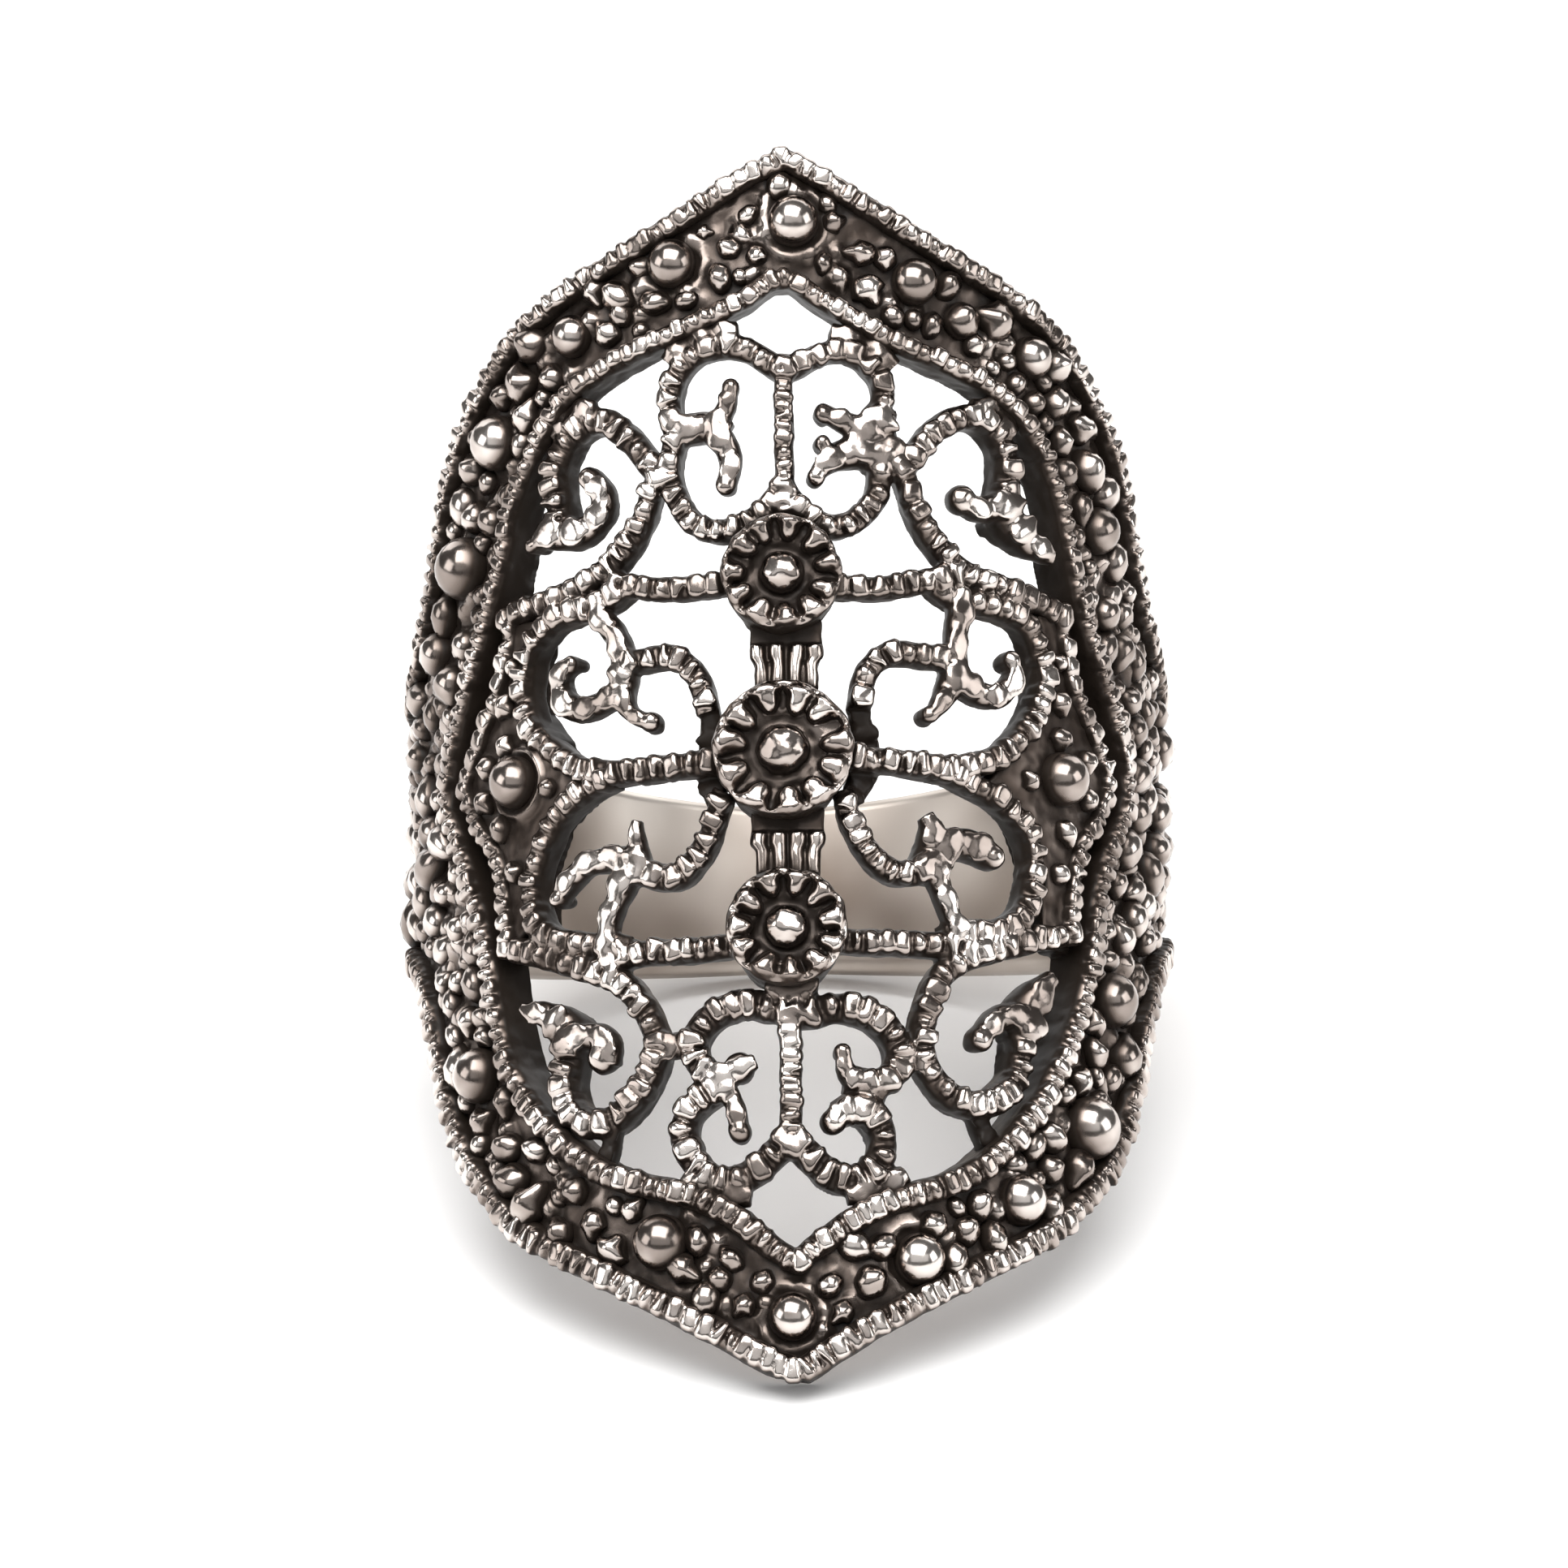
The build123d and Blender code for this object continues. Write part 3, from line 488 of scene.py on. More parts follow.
def bar(length, width, top, foot, rounding):
    """A straight bar along X with tapered walls and a back rounded by this share of its width."""
    bpy.ops.mesh.primitive_cube_add(size=1, location=(length / 2, 0, (top + foot) / 2))
    piece = name_piece("bar")
    piece.scale = (length + 2 * BAR_OVERLAP, width, top - foot)
    apply_place(piece)
    select_points(piece, lambda co: co.z < foot + 1e-3)
    bpy.ops.transform.resize(value=(1, 0.78, 1), center_override=(0, 0, 0))
    select_edges(piece, lambda a, b: abs(a.y - b.y) < 1e-4 and a.z > top - 1e-3 and b.z > top - 1e-3)
    bpy.ops.mesh.bevel(offset=width * rounding, segments=6, profile=0.5, affect="EDGES")
    select_edges(piece, lambda a, b: abs(a.x - b.x) > length / 2)
    bpy.ops.mesh.subdivide(number_cuts=max(1, round(length / 0.15)))
    leave_edit()
    return piece


def lump_patterns():
    """What the notched wires carry on their backs: a ball, a pillow and a pillow with one side pinched."""
    shapes = [grain_pattern(2)]
    for pinch in (1.0, 1.0, 0.5):
        bpy.ops.mesh.primitive_cube_add(size=2, location=(0, 0, 0))
        pillow = name_piece("pillow")
        select_edges(pillow, lambda a, b: True)
        bpy.ops.mesh.bevel(offset=0.55, segments=3, profile=0.5, affect="EDGES")
        select_points(pillow, lambda co: co.y > 0)
        bpy.ops.transform.resize(value=(pinch, 1, 1), center_override=(0, 0, 0))
        leave_edit()
        shapes.append(pillow)
    return shapes


def run_along(name, points, shapes, width, pitch, top, foot, depth,
              rounding=WIRE_ROUNDING, closed=False):
    """A bar bent along the line, with uneven lumps on its back and grooves this deep between them."""
    path = line(points, closed)
    length = line_length(path)
    made = [bar(length, width, top - depth, foot, rounding)]
    count = max(2, round(length / pitch))
    shares = [CHANCE.uniform(0.75, 1.3) for _ in range(count)]
    start = 0
    for share in shares:
        run = length * share / sum(shares)
        tall = depth * CHANCE.uniform(1.3, 1.8)
        size = (run * CHANCE.uniform(0.44, 0.52), width * CHANCE.uniform(0.44, 0.5), tall)
        place = (start + run / 2, width * CHANCE.uniform(-0.05, 0.05),
                 top - tall - depth * CHANCE.uniform(-0.1, 0.3))
        turn = CHANCE.uniform(-0.25, 0.25) + CHANCE.choice((0, math.pi))
        made.append(twin(CHANCE.choice(shapes), place, size, turn))
        start += run
    piece = join(name.replace(" ", "_"), made)
    bend = piece.modifiers.new("Line", "CURVE")
    bend.object = path
    bend.deform_axis = "POS_X"
    apply_modifiers(piece)
    discard(path)
    return piece


def widths_along(points, start, end, width):
    """The same points, each with its thickness as a share of this width."""
    last = len(points) - 1
    return [(across, along, (start + (end - start) * index / last) / width)
            for index, (across, along) in enumerate(points)]


def clamp_to_bore(piece, reach=0.0):
    """Presses flat what lies below the bore or up to this far over it."""
    select_points(piece, lambda co: co.z < BORE_HEIGHT + reach)
    bpy.ops.transform.resize(value=(1, 1, 0), center_override=(0, 0, BORE_HEIGHT))
    leave_edit()


def roughen(piece, size, strength):
    """Uneven casting: pushes the skin in and out by cloudy noise."""
    clouds = bpy.data.textures.new(piece.name + "_clouds", "CLOUDS")
    clouds.noise_scale = size
    clouds.noise_depth = 1
    push = piece.modifiers.new("Casting", "DISPLACE")
    push.texture = clouds
    push.texture_coords = "LOCAL"
    push.strength = strength
    push.mid_level = 0.5
    apply_modifiers(piece)


def fuse(piece, grain_size, melt):
    """Casts overlapping shapes as one skin and lets its corners melt."""
    skin = piece.modifiers.new("Skin", "REMESH")
    skin.mode = "VOXEL"
    skin.voxel_size = grain_size
    skin.adaptivity = 0
    soften = piece.modifiers.new("Melt", "SMOOTH")
    soften.factor = 0.5
    soften.iterations = melt
    apply_modifiers(piece)


def lighten(piece, most):
    """Merges faces where the skin is flat, until it has no more than this many triangles."""
    triangles = sum(len(face.vertices) - 2 for face in piece.data.polygons)
    if triangles > most:
        fewer = piece.modifiers.new("Fewer", "DECIMATE")
        fewer.ratio = most / triangles
        apply_modifiers(piece)


def shade_soft(piece):
    activate(piece)
    bpy.ops.object.shade_smooth_by_angle(angle=math.radians(CREASE_DEGREES))


def bend_round_finger(piece):
    """Stands the flat drawing up, bends it round the finger and lays the ring down."""
    piece.rotation_euler = (math.radians(90), 0, 0)
    apply_place(piece)
    reach = [corner[0] for corner in piece.bound_box]
    bend = piece.modifiers.new("Finger", "SIMPLE_DEFORM")
    bend.deform_method = "BEND"
    bend.deform_axis = "Z"
    bend.angle = (max(reach) - min(reach)) / SHEET_RADIUS
    apply_modifiers(piece)
    piece.rotation_euler = (-LEAN, 0, 0)
    piece.location = (0, MIDDLE_Y - SHEET_RADIUS * math.cos(LEAN), MIDDLE_Z + SHEET_RADIUS * math.sin(LEAN))
    apply_place(piece)
    piece.scale = (MILLIMETRE, MILLIMETRE, MILLIMETRE)
    apply_place(piece)


# The silver

def axis_distance(nodes, links):
    """How far a point is from the finger's axis, in millimetres."""
    coordinates = nodes.new("ShaderNodeTexCoord")
    centred = nodes.new("ShaderNodeVectorMath")
    centred.operation = "SUBTRACT"
    centred.inputs[1].default_value = (0, MIDDLE_Y * MILLIMETRE, MIDDLE_Z * MILLIMETRE)
    links.new(coordinates.outputs["Object"], centred.inputs[0])
    across = nodes.new("ShaderNodeVectorMath")
    across.operation = "CROSS_PRODUCT"
    across.inputs[1].default_value = FINGER_AXIS
    links.new(centred.outputs["Vector"], across.inputs[0])
    length = nodes.new("ShaderNodeVectorMath")
    length.operation = "LENGTH"
    links.new(across.outputs["Vector"], length.inputs[0])
    scaled = nodes.new("ShaderNodeMath")
    scaled.operation = "MULTIPLY"
    scaled.inputs[1].default_value = 1 / MILLIMETRE
    links.new(length.outputs["Value"], scaled.inputs[0])
    return coordinates, across, scaled


def outward_share(nodes, links, across):
    """1 where the surface faces away from the finger, 0 on walls, less on what faces the finger."""
    outward = nodes.new("ShaderNodeVectorMath")
    outward.operation = "CROSS_PRODUCT"
    outward.inputs[0].default_value = FINGER_AXIS
    links.new(across.outputs["Vector"], outward.inputs[1])
    unit = nodes.new("ShaderNodeVectorMath")
    unit.operation = "NORMALIZE"
    links.new(outward.outputs["Vector"], unit.inputs[0])
    surface = nodes.new("ShaderNodeNewGeometry")
    facing = nodes.new("ShaderNodeVectorMath")
    facing.operation = "DOT_PRODUCT"
    links.new(unit.outputs["Vector"], facing.inputs[0])
    links.new(surface.outputs["Normal"], facing.inputs[1])
    return facing.outputs["Value"]


def noise(nodes, links, coordinates, scale, detail=3):
    texture = nodes.new("ShaderNodeTexNoise")
    texture.inputs["Scale"].default_value = scale
    texture.inputs["Detail"].default_value = detail
    links.new(coordinates.outputs["Object"], texture.inputs["Vector"])
    return texture


def span(nodes, links, value, low, high, to_low=0.0, to_high=1.0):
    """Maps a range of the value on to another, eased at both ends."""
    mapped = nodes.new("ShaderNodeMapRange")
    mapped.interpolation_type = "SMOOTHSTEP"
    mapped.inputs["From Min"].default_value = low
    mapped.inputs["From Max"].default_value = high
    mapped.inputs["To Min"].default_value = to_low
    mapped.inputs["To Max"].default_value = to_high
    links.new(value, mapped.inputs["Value"])
    return mapped.outputs["Result"]


def combine(nodes, links, operation, first, second):
    node = nodes.new("ShaderNodeMath")
    node.operation = operation
    node.use_clamp = operation != "SUBTRACT"
    for socket, value in zip(node.inputs, (first, second)):
        if isinstance(value, (int, float)):
            socket.default_value = value
        else:
            links.new(value, socket)
    return node.outputs["Value"]


def ramp(nodes, links, value, stops):
    node = nodes.new("ShaderNodeValToRGB")
    elements = node.color_ramp.elements
    while len(elements) < len(stops):
        elements.new(0.5)
    for element, (position, colour) in zip(elements, stops):
        element.position = position
        element.color = (*colour, 1)
    links.new(value, node.inputs["Fac"])
    return node.outputs["Color"]


def antiqued_silver(name, dark_below, polished_above):
    """Cast silver: brown-black in the hollows and on the walls, polished above a distance from the axis."""
    material = bpy.data.materials.new(name)
    material.use_nodes = True
    nodes = material.node_tree.nodes
    links = material.node_tree.links
    shader = nodes["Principled BSDF"]
    shader.inputs["Specular IOR Level"].default_value = 0.2
    coordinates, across, distance = axis_distance(nodes, links)
    outward = outward_share(nodes, links, across)
    raised = combine(nodes, links, "MULTIPLY",
                     span(nodes, links, distance.outputs["Value"], dark_below, polished_above),
                     span(nodes, links, outward, 0.12, 0.9))
    hollow = nodes.new("ShaderNodeAmbientOcclusion")
    hollow.inputs["Distance"].default_value = 0.0004
    hollow.samples = 6
    open_share = span(nodes, links, hollow.outputs["AO"], 0.5, 0.97)
    patches = noise(nodes, links, coordinates, 500)
    uneven = span(nodes, links, patches.outputs["Fac"], 0.35, 0.65, 0.5, 1.0)
    polish = combine(nodes, links, "MULTIPLY", raised, open_share)
    polish = combine(nodes, links, "MULTIPLY", polish, uneven)
    worn = combine(nodes, links, "MULTIPLY",
                   span(nodes, links, outward, -0.75, -0.97),
                   span(nodes, links, patches.outputs["Fac"], 0.3, 0.65, 0.5, 0.85))
    polish = combine(nodes, links, "MAXIMUM", polish, worn)
    colour = ramp(nodes, links, polish, [
        (0.0, (0.018, 0.013, 0.01)), (0.15, (0.065, 0.05, 0.042)), (0.4, (0.2, 0.165, 0.145)),
        (0.7, (0.46, 0.4, 0.365)), (1.0, (0.8, 0.74, 0.695))])
    links.new(colour, shader.inputs["Base Color"])
    links.new(span(nodes, links, polish, 0.0, 0.12), shader.inputs["Metallic"])
    links.new(span(nodes, links, polish, 0.0, 0.6, 0.42, 0.17), shader.inputs["Roughness"])
    grain = noise(nodes, links, coordinates, 4000)
    bump = nodes.new("ShaderNodeBump")
    bump.inputs["Strength"].default_value = 0.1
    bump.inputs["Distance"].default_value = 0.00005
    links.new(grain.outputs["Fac"], bump.inputs["Height"])
    links.new(bump.outputs["Normal"], shader.inputs["Normal"])
    return material


def worn_silver():
    """The smooth shank: a soft grey-beige tarnish, a little uneven."""
    material = bpy.data.materials.new("worn_silver")
    material.use_nodes = True
    nodes = material.node_tree.nodes
    links = material.node_tree.links
    shader = nodes["Principled BSDF"]
    shader.inputs["Metallic"].default_value = 1.0
    shader.inputs["Roughness"].default_value = 0.42
    coordinates = nodes.new("ShaderNodeTexCoord")
    patches = noise(nodes, links, coordinates, 180, 2)
    colour = ramp(nodes, links, patches.outputs["Fac"], [
        (0.36, (0.32, 0.265, 0.225)), (0.62, (0.76, 0.7, 0.64))])
    links.new(colour, shader.inputs["Base Color"])
    scratches = noise(nodes, links, coordinates, 700, 2)
    bump = nodes.new("ShaderNodeBump")
    bump.inputs["Strength"].default_value = 0.15
    bump.inputs["Distance"].default_value = 0.0001
    links.new(scratches.outputs["Fac"], bump.inputs["Height"])
    links.new(bump.outputs["Normal"], shader.inputs["Normal"])
    return material


# Flat geometry helpers

def inside(across, along, outline):
    """Whether a point lies in a closed outline."""
    within = False
    before = outline[-1]
    for after in outline:
        if (before[1] > along) != (after[1] > along):
            crossing = before[0] + (along - before[1]) / (after[1] - before[1]) * (after[0] - before[0])
            if across < crossing:
                within = not within
        before = after
    return within


def line_distance(across, along, outline):
    """How far a point is from a closed line."""
    spot = Vector((across, along))
    nearest = 1e9
    before = Vector(outline[-1][:2])
    for place in outline:
        after = Vector(place[:2])
        run = after - before
        share = max(0, min(1, (spot - before).dot(run) / max(run.length_squared, 1e-9)))
        nearest = min(nearest, (spot - before - run * share).length)
        before = after
    return nearest


def thicken(piece, thickness):
    wall = piece.modifiers.new("Wall", "SOLIDIFY")
    wall.thickness = thickness
    wall.offset = -1
    apply_modifiers(piece)


def trimmed_grid(name, outline_test, across_reach, along_reach, cell, height, thickness):
    """A fine grid, cut to an outline and given its thickness."""
    columns = round(2 * across_reach / cell)
    rows = round(2 * along_reach / cell)
    bpy.ops.mesh.primitive_grid_add(x_subdivisions=columns, y_subdivisions=rows, size=2, location=(0, 0, height))
    piece = name_piece(name)
    piece.scale = (across_reach, along_reach, 1)
    apply_place(piece)
    select_faces(piece, lambda middle, normal: not outline_test(middle.x, middle.y))
    bpy.ops.mesh.delete(type="FACE")
    leave_edit()
    thicken(piece, thickness)
    return piece


def mirrored(points):
    return [(-point[0], *point[1:]) for point in points]


# The pieces

def ropes():
    shapes = lump_patterns()
    made = []
    for name, points, width, backs in (
            ("rim rope", RIM_ROPE, 0.67, shapes), ("inner rope", INNER_ROPE, 0.62, shapes[:2])):
        gauge = [(across, along, 1 - 0.12 * max(-1, min(1, along / 8))) for across, along in points]
        made.append(run_along(name, gauge, backs, width, ROPE_PITCH, ROPE_TOP, BORE_HEIGHT, NOTCH_DEPTH,
                              closed=True))
    for shape in shapes:
        discard(shape)
    return made


def lattice(name, low, high):
    """The notched wires and the scroll ends whose middles lie between two heights of the plate."""
    shapes = lump_patterns()
    made = []

    def here(points):
        return low <= sum(point[1] for point in points) / len(points) < high

    for wire, (start, end, points) in WIRES.items():
        if here(points):
            gauge = widths_along(points, start * WIRE_GAIN, end * WIRE_GAIN, WIRE_WIDTH)
            pitch = AXIS_BAR_PITCH if wire.startswith("axis") else WIRE_PITCH
            made.append(run_along(wire, gauge, shapes, WIRE_WIDTH, pitch, WIRE_TOP, WIRE_FOOT / WIRE_GAIN,
                                  NOTCH_DEPTH))
    for chart, gain, top, pitch in ((SPURS, SPUR_GAIN, SPUR_TOP, 0.8), (WEBS, 1.0, WEB_TOP, 0.6)):
        for spur, rows in chart.items():
            if here(rows):
                points = [(across, along, width * gain / WIRE_WIDTH) for across, along, width in rows]
                level = top - CONTACT_DROP if spur.endswith((" web", " link")) else top
                made.append(run_along(spur, points, shapes[:1], WIRE_WIDTH, pitch, level, WIRE_FOOT / gain,
                                      SPUR_NOTCH_DEPTH, SPUR_ROUNDING))
    pattern = grain_pattern(3)
    for ball in SPUR_BALLS:
        if here([ball]):
            across, along, radius = ball
            size = radius * 1.15
            made.append(twin(pattern, (across, along, SPUR_TOP - size * 0.9), (size, size, size)))
            made.append(twin(pattern, (across, along, (SPUR_TOP + WIRE_FOOT) / 2), (size, size, 0.5)))
    for shape in [pattern] + shapes:
        discard(shape)
    made += [bridge(*ends) for ends in BRIDGES if here([ends[:2]])]
    wires = join(name, made)
    clamp_to_bore(wires)
    return wires


def grain_pattern(fineness):
    bpy.ops.mesh.primitive_ico_sphere_add(subdivisions=fineness, radius=1, location=(0, 0, 0))
    return name_piece("grain")


def border_floor():
    def wanted(across, along):
        if abs(across) > BORDER_END or not inside(across, along, RIM_ROPE):
            return False
        return not inside(across, along, INNER_ROPE)
    return trimmed_grid("border_floor", wanted, BORDER_END, 16, cell=0.22, height=FLOOR_HEIGHT, thickness=0.88)


def side_floors():
    made = []
    for outline, height, thickness in (
            (LOZENGE_OUTLINE, LOZENGE_HEIGHT, 1.0), (RECESS_OUTLINE, RECESS_HEIGHT, 0.58)):
        other = mirrored(outline)
        made.append(trimmed_grid(
            "side_floor", lambda across, along: inside(across, along, outline) or inside(across, along, other),
            11.6, 5, cell=0.12, height=height, thickness=thickness))
    return join("side_floors", made)


def drop_pattern(fineness):
    """A grain drawn out to a blunt point on one side."""
    drop = grain_pattern(fineness)
    select_points(drop, lambda co: co.x > 0.3)
    bpy.ops.transform.resize(value=(1.25, 0.72, 0.85), center_override=(0.3, 0, 0))
    leave_edit()
    return drop


def scatter(placed, tries, sizes, side_sizes, closeness):
    """Adds free spots on the border to the list of (across, along, radius), and returns the new ones."""
    found = []
    for _ in range(tries):
        across = CHANCE.uniform(-BORDER_END, BORDER_END)
        along = CHANCE.uniform(-TIP_REACH, TIP_REACH)
        radius = CHANCE.uniform(*(side_sizes if abs(across) > SIDE_START else sizes))
        margin = 0.3 + radius * 0.6
        if not inside(across, along, RIM_ROPE) or inside(across, along, INNER_ROPE):
            continue
        if any(math.hypot(across - x, along - y) < closeness * (radius + other) for x, y, other in placed):
            continue
        if any(line_distance(across, along, rope) < margin for rope in (RIM_ROPE, INNER_ROPE)):
            continue
        placed.append((across, along, radius))
        found.append((across, along, radius))
    return found


def grains(beads, ground, placed=()):
    """The charted beads, and grains on the other places."""
    ball = grain_pattern(3)
    small_shapes = [grain_pattern(2), drop_pattern(2)]
    shapes = [grain_pattern(3), drop_pattern(3)]
    for shape in shapes:
        roughen(shape, 0.9, 0.3)
    made = []
    for across, along, radius in beads:
        smooth = radius > 0.5
        pattern = ball if smooth else CHANCE.choice(shapes)
        squash = 1 if smooth else CHANCE.uniform(0.85, 1.15)
        size = radius * (1.06 if smooth else 1.15)
        place = (across, along, ground + size * 0.15)
        made.append(twin(pattern, place, (size * squash, size / squash, size), CHANCE.uniform(0, 2 * math.pi)))
    for across, along, radius in placed:
        place = (across, along, ground + radius * CHANCE.uniform(-0.1, 0.2))
        size = (radius * CHANCE.uniform(0.9, 1.35), radius * CHANCE.uniform(0.85, 1.1), radius)
        made.append(twin(CHANCE.choice(small_shapes), place, size, CHANCE.uniform(0, 2 * math.pi)))
    for pattern in [ball] + small_shapes + shapes:
        discard(pattern)
    return join("grains", made)


def bezels(ground, on_border):
    made = []
    for across, along, radius in BEZELS:
        if (abs(across) < 7) == on_border:
            bpy.ops.mesh.primitive_torus_add(major_radius=radius * 0.95, minor_radius=0.13, major_segments=40,
                                             minor_segments=10, location=(across, along, ground))
            made.append(bpy.context.object)
    return made


def bumpy_ground(spots):
    """The border's floor with low bumps all over it and a bezel round some beads."""
    pattern = grain_pattern(2)
    made = [border_floor()] + bezels(FLOOR_HEIGHT, True)
    for across, along, radius in spots:
        place = (across, along, FLOOR_HEIGHT - radius * CHANCE.uniform(0.1, 0.5))
        made.append(twin(pattern, place, (radius, radius, radius), CHANCE.uniform(0, math.pi)))
    discard(pattern)
    return join("bumpy_ground", made)


def petal_pattern():
    """A petal along X, narrower and lower towards the flower's middle."""
    petal = grain_pattern(3)
    select_points(petal, lambda co: co.x < 0.1)
    bpy.ops.transform.resize(value=(1.5, 0.68, 0.85), center_override=(0.1, 0, 0))
    leave_edit()
    return petal


def rosette(across, along, radius, petal_width):
    """A dished disc with a thin raised edge, eleven petals and a bead in its middle."""
    height = 0.42
    petals = 11
    bpy.ops.mesh.primitive_cylinder_add(vertices=66, radius=radius, depth=height - BORE_HEIGHT,
                                        location=(0, 0, (height + BORE_HEIGHT) / 2))
    disc = name_piece("rosette_disc")
    apply_place(disc)
    select_faces(disc, lambda middle, normal: normal.z > 0.9)
    for width, rise in ((0.045, 0.04), (0.045, -0.24), (0.3, -0.08), (0.15, -0.1)):
        bpy.ops.mesh.inset(thickness=radius * width, depth=rise)
    leave_edit()
    pattern = grain_pattern(3)
    made = [disc, twin(pattern, (0, 0, height - 0.24), (radius * 0.37, radius * 0.37, radius * 0.36))]
    made.append(twin(pattern, (radius * 0.12, -radius * 0.1, height + 0.12), (radius * 0.17, radius * 0.15, 0.16)))
    discard(pattern)
    pattern = petal_pattern()
    for index in range(petals):
        turn = 2 * math.pi * (index + CHANCE.uniform(-0.12, 0.12)) / petals
        from_middle = radius * CHANCE.uniform(0.79, 0.84)
        spread = petal_width * CHANCE.uniform(0.95, 1.25)
        made.append(twin(pattern, (from_middle * math.cos(turn), from_middle * math.sin(turn), height - 0.12),
                         (radius * CHANCE.uniform(0.17, 0.21), radius * spread, CHANCE.uniform(0.36, 0.46)), turn))
    discard(pattern)
    flower = join("rosette", made)
    flower.location = (across, along, 0)
    flower.rotation_euler = (0, 0, CHANCE.uniform(0, math.pi / petals))
    apply_place(flower)
    return flower


def bridge(upper_end, lower_end, half_width):
    """A waisted bar with four flat ribs along it, lower than the rosettes that it joins."""
    middle = (upper_end + lower_end) / 2
    length = upper_end - lower_end + 0.6
    top = -0.36
    bpy.ops.mesh.primitive_cube_add(size=1, location=(0, middle, (WIRE_FOOT + top) / 2))
    block = name_piece("bridge_block")
    block.scale = (2 * half_width, length, top - WIRE_FOOT)
    apply_place(block)
    made = [block]
    ribs = 4
    for index in range(ribs):
        across = (index - (ribs - 1) / 2) * (2 * half_width - 0.4) / (ribs - 1)
        bpy.ops.mesh.primitive_cylinder_add(vertices=20, radius=0.5, depth=length * 0.52,
                                            location=(across, middle - 0.15, top),
                                            rotation=(math.radians(90), 0, 0))
        rib = bpy.context.object
        rib.scale = (0.44, 0.5, 1)
        made.append(rib)
    body = join("bridge", made)
    select_edges(body, lambda a, b: abs(a.y - b.y) > length / 3)
    bpy.ops.mesh.subdivide(number_cuts=6)
    select_points(body, lambda co: co.y < middle)
    bpy.ops.transform.resize(value=(0.86, 1, 1), center_override=(0, 0, 0))
    leave_edit()
    return body


def rosettes():
    return join("rosettes", [
        rosette(-0.1, 4.7, 1.5, 0.23),
        rosette(-0.1, 0.1, 1.75, 0.235),
        rosette(-0.05, -4.5, 1.5, 0.235),
    ])


def shank():
    """The plain band behind the finger: one strip across the back, narrower there, with rounded edges."""
    half_length = BACK - BORDER_END + 0.3
    columns = 32
    bpy.ops.mesh.primitive_plane_add(size=2, location=(0, 0, SHANK_HEIGHT))
    band = name_piece("shank")
    band.scale = (half_length, BACK_HALF_WIDTH, 1)
    apply_place(band)
    select_edges(band, lambda a, b: abs(a.x - b.x) > 1)
    bpy.ops.mesh.subdivide(number_cuts=2 * columns - 1)
    leave_edit()
    for column in range(1, columns + 1):
        reach = column / columns
        widening = 1 + (BORDER_HALF_WIDTH / BACK_HALF_WIDTH - 1) * reach ** 1.3
        select_points(band, lambda co: abs(abs(co.x) / half_length - reach) < 0.3 / columns)
        bpy.ops.transform.resize(value=(1, widening, 1), center_override=(0, 0, 0))
        leave_edit()
    thicken(band, SHANK_HEIGHT - BORE_HEIGHT)
    select_edges(band, lambda a, b: a.y * b.y > 0 and abs(a.z - b.z) < 1e-3)
    bpy.ops.mesh.bevel(offset=0.32, segments=4, profile=0.5, affect="EDGES")
    leave_edit()
    band.location.x = BACK
    apply_place(band)
    return band


def finish_piece(piece, material):
    bend_round_finger(piece)
    piece.data.materials.clear()
    piece.data.materials.append(material)
    shade_soft(piece)
    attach(piece, "root")
    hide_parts("silver_ring")


rope_silver = antiqued_silver("rope_silver", 9.78, 10.12)
wire_silver = antiqued_silver("wire_silver", 9.65, 10.03)
border_silver = antiqued_silver("border_silver", 9.42, 9.98)
rosette_silver = antiqued_silver("rosette_silver", 9.86, 10.46)
smooth_silver = worn_silver()

rim, inner = ropes()
upper = lattice("upper_scrolls", 0, 20)
lower = lattice("lower_scrolls", -20, 0)
beads = scatter(list(BORDER_BEADS), tries=9000, sizes=(0.26, 0.44), side_sizes=(0.34, 0.6), closeness=0.84)
bumps = scatter(list(BORDER_BEADS), tries=4000, sizes=(0.25, 0.4), side_sizes=(0.3, 0.45), closeness=0.7)
ground = bumpy_ground(bumps)
grain = grains(BORDER_BEADS, FLOOR_HEIGHT, beads)
sides = join("side_lozenges", [side_floors()] + bezels(LOZENGE_HEIGHT, False))
side_grain = grains(LOZENGE_BEADS, LOZENGE_HEIGHT)
flowers = rosettes()
band = shank()

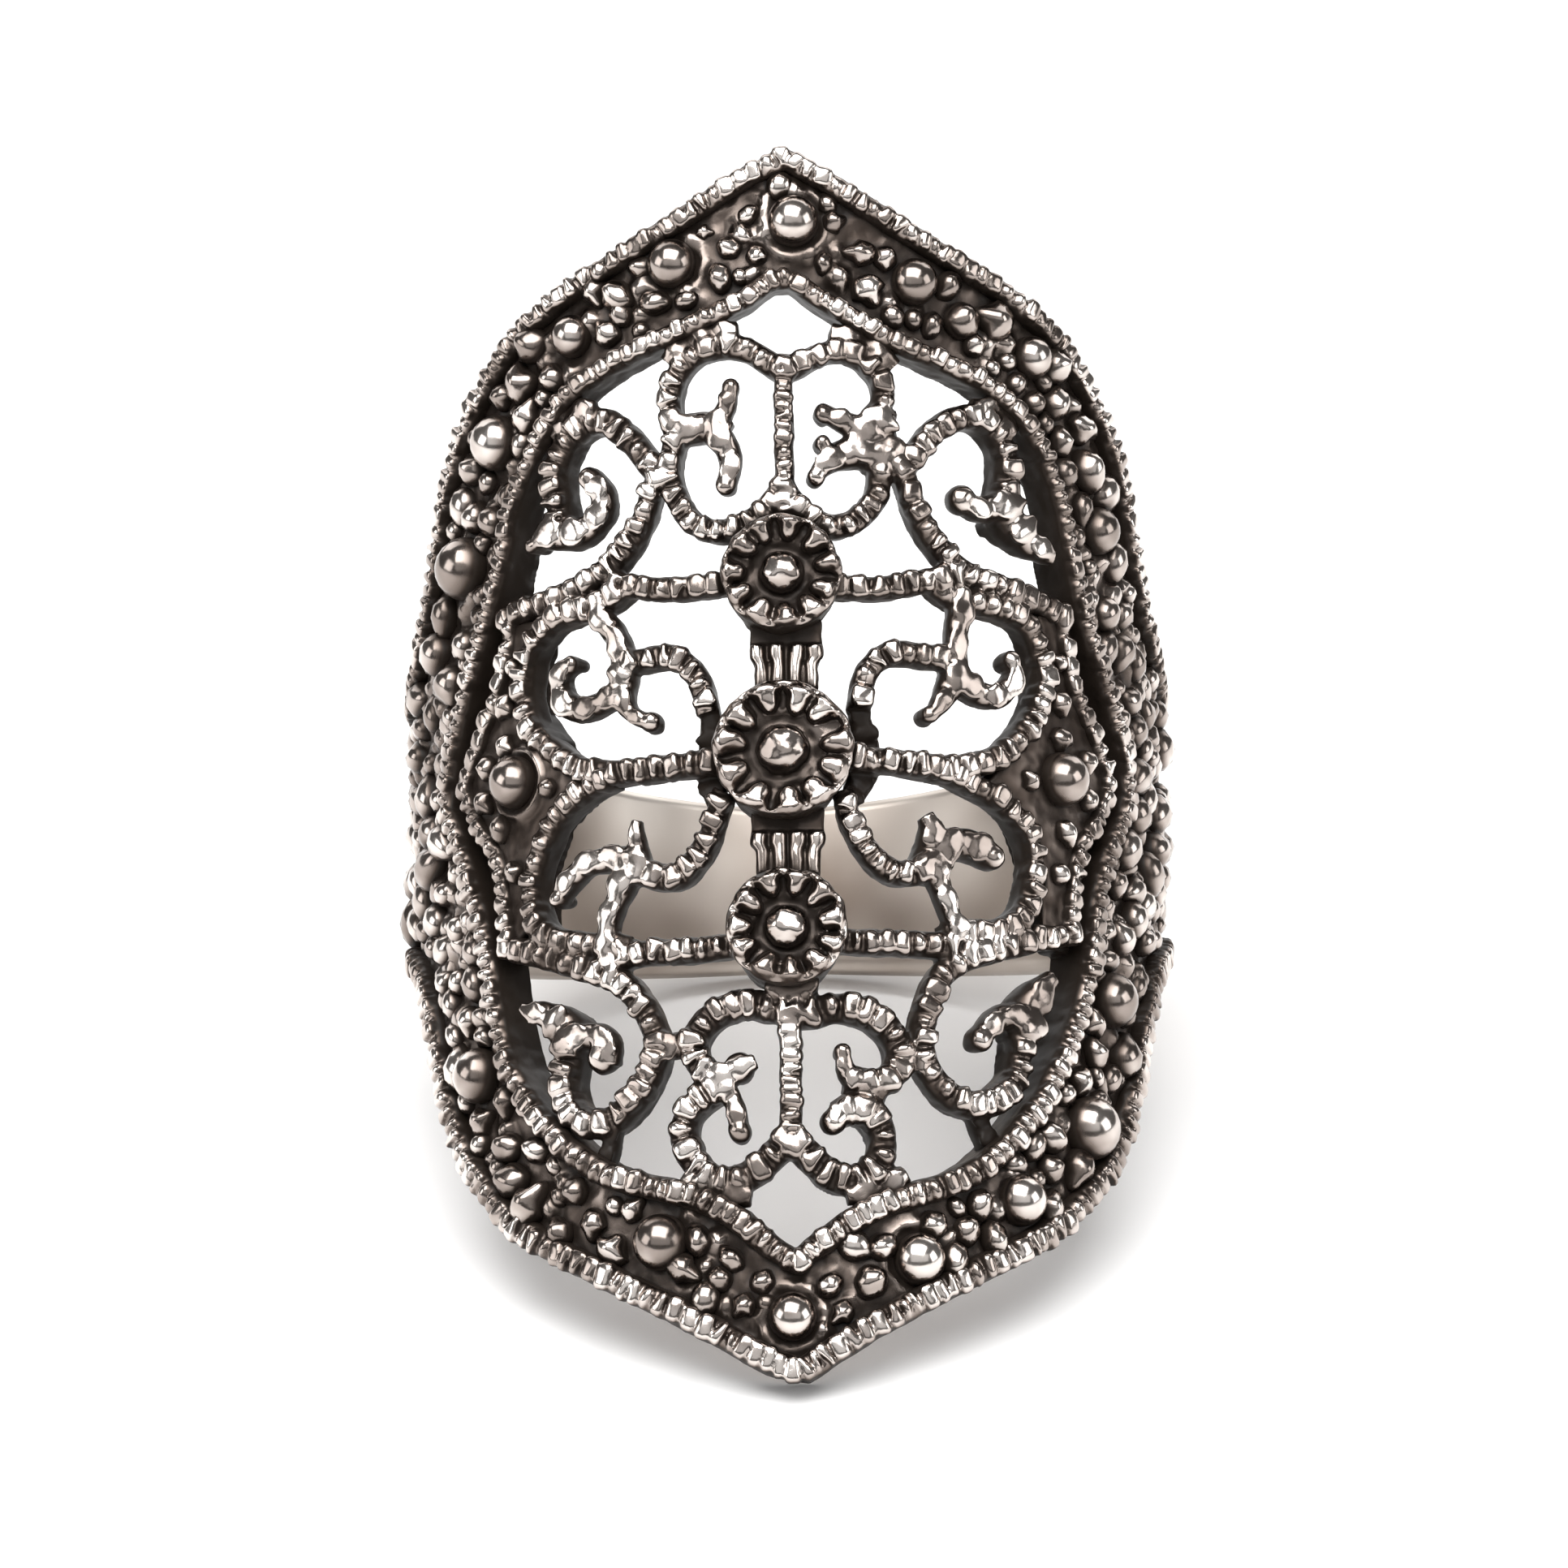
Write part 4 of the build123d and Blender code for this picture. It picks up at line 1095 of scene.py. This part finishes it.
for piece, grain_size, melt, unevenness, most in (
        (rim, 0.048, 2, 0.07, 130000), (inner, 0.048, 2, 0.07, 110000),
        (upper, 0.05, 3, 0.09, 130000), (lower, 0.05, 3, 0.09, 130000),
        (ground, 0.1, 1, 0.2, 70000), (sides, 0.07, 3, 0.08, 50000), (flowers, 0.05, 2, 0.12, 70000)):
    fuse(piece, grain_size, melt)
    roughen(piece, 0.5, unevenness)
    clamp_to_bore(piece, INSIDE_PRESS)
    lighten(piece, most)
border = join("granulated_border", [ground, grain])
sides = join("side_lozenges", [sides, side_grain])
for piece, material in ((rim, rope_silver), (inner, rope_silver), (upper, wire_silver), (lower, wire_silver),
                        (sides, wire_silver), (border, border_silver), (flowers, rosette_silver),
                        (band, smooth_silver)):
    finish_piece(piece, material)


# The studio: white paper, soft light, and the camera where the photograph was taken from

def paper():
    material = bpy.data.materials.new("white_paper")
    material.use_nodes = True
    shader = material.node_tree.nodes["Principled BSDF"]
    shader.inputs["Base Color"].default_value = (0.93, 0.925, 0.92, 1)
    shader.inputs["Roughness"].default_value = 0.9
    shader.inputs["Specular IOR Level"].default_value = 0.1
    bpy.ops.mesh.primitive_plane_add(size=3, location=(0, 0, 0))
    sheet = name_piece("paper")
    sheet.data.materials.append(material)


def soft_light(name, place, aim, size, power):
    bpy.ops.object.light_add(type="AREA", location=place)
    lamp = bpy.context.object
    lamp.name = name
    lamp.data.shape = "RECTANGLE"
    lamp.data.size, lamp.data.size_y = size
    lamp.data.energy = power
    lamp.rotation_euler = (Vector(aim) - Vector(place)).to_track_quat("-Z", "Y").to_euler()


paper()
ring_middle = (0, 0, 0.012)
soft_light("overhead_softbox", (-0.03, -0.12, 0.4), ring_middle, (0.45, 0.34), 2.6)
soft_light("front_fill", (0.0, -0.45, 0.32), ring_middle, (0.9, 0.35), 0.55)
soft_light("back_softbox", (0.0, 0.5, 0.3), ring_middle, (1.0, 0.5), 2.6)
soft_light("left_fill", (-0.5, -0.15, 0.2), ring_middle, (0.3, 0.3), 0.7)
soft_light("right_fill", (0.5, -0.15, 0.2), ring_middle, (0.3, 0.3), 0.7)

world = bpy.data.worlds.new("studio")
bpy.context.scene.world = world
world.use_nodes = True
world.node_tree.nodes["Background"].inputs["Color"].default_value = (1, 0.97, 0.95, 1)
world.node_tree.nodes["Background"].inputs["Strength"].default_value = 0.12
bpy.context.scene.view_settings.view_transform = "Standard"

bpy.ops.object.camera_add(location=(-0.000086, -0.2213448, 0.1157117))
camera = bpy.context.object
camera.rotation_mode = "ZYX"
camera.rotation_euler = (math.radians(64.673), 0, math.radians(-0.56))
camera.data.lens = 216.15
camera.data.sensor_width = 36
camera.data.clip_start = 0.01
bpy.context.scene.camera = camera
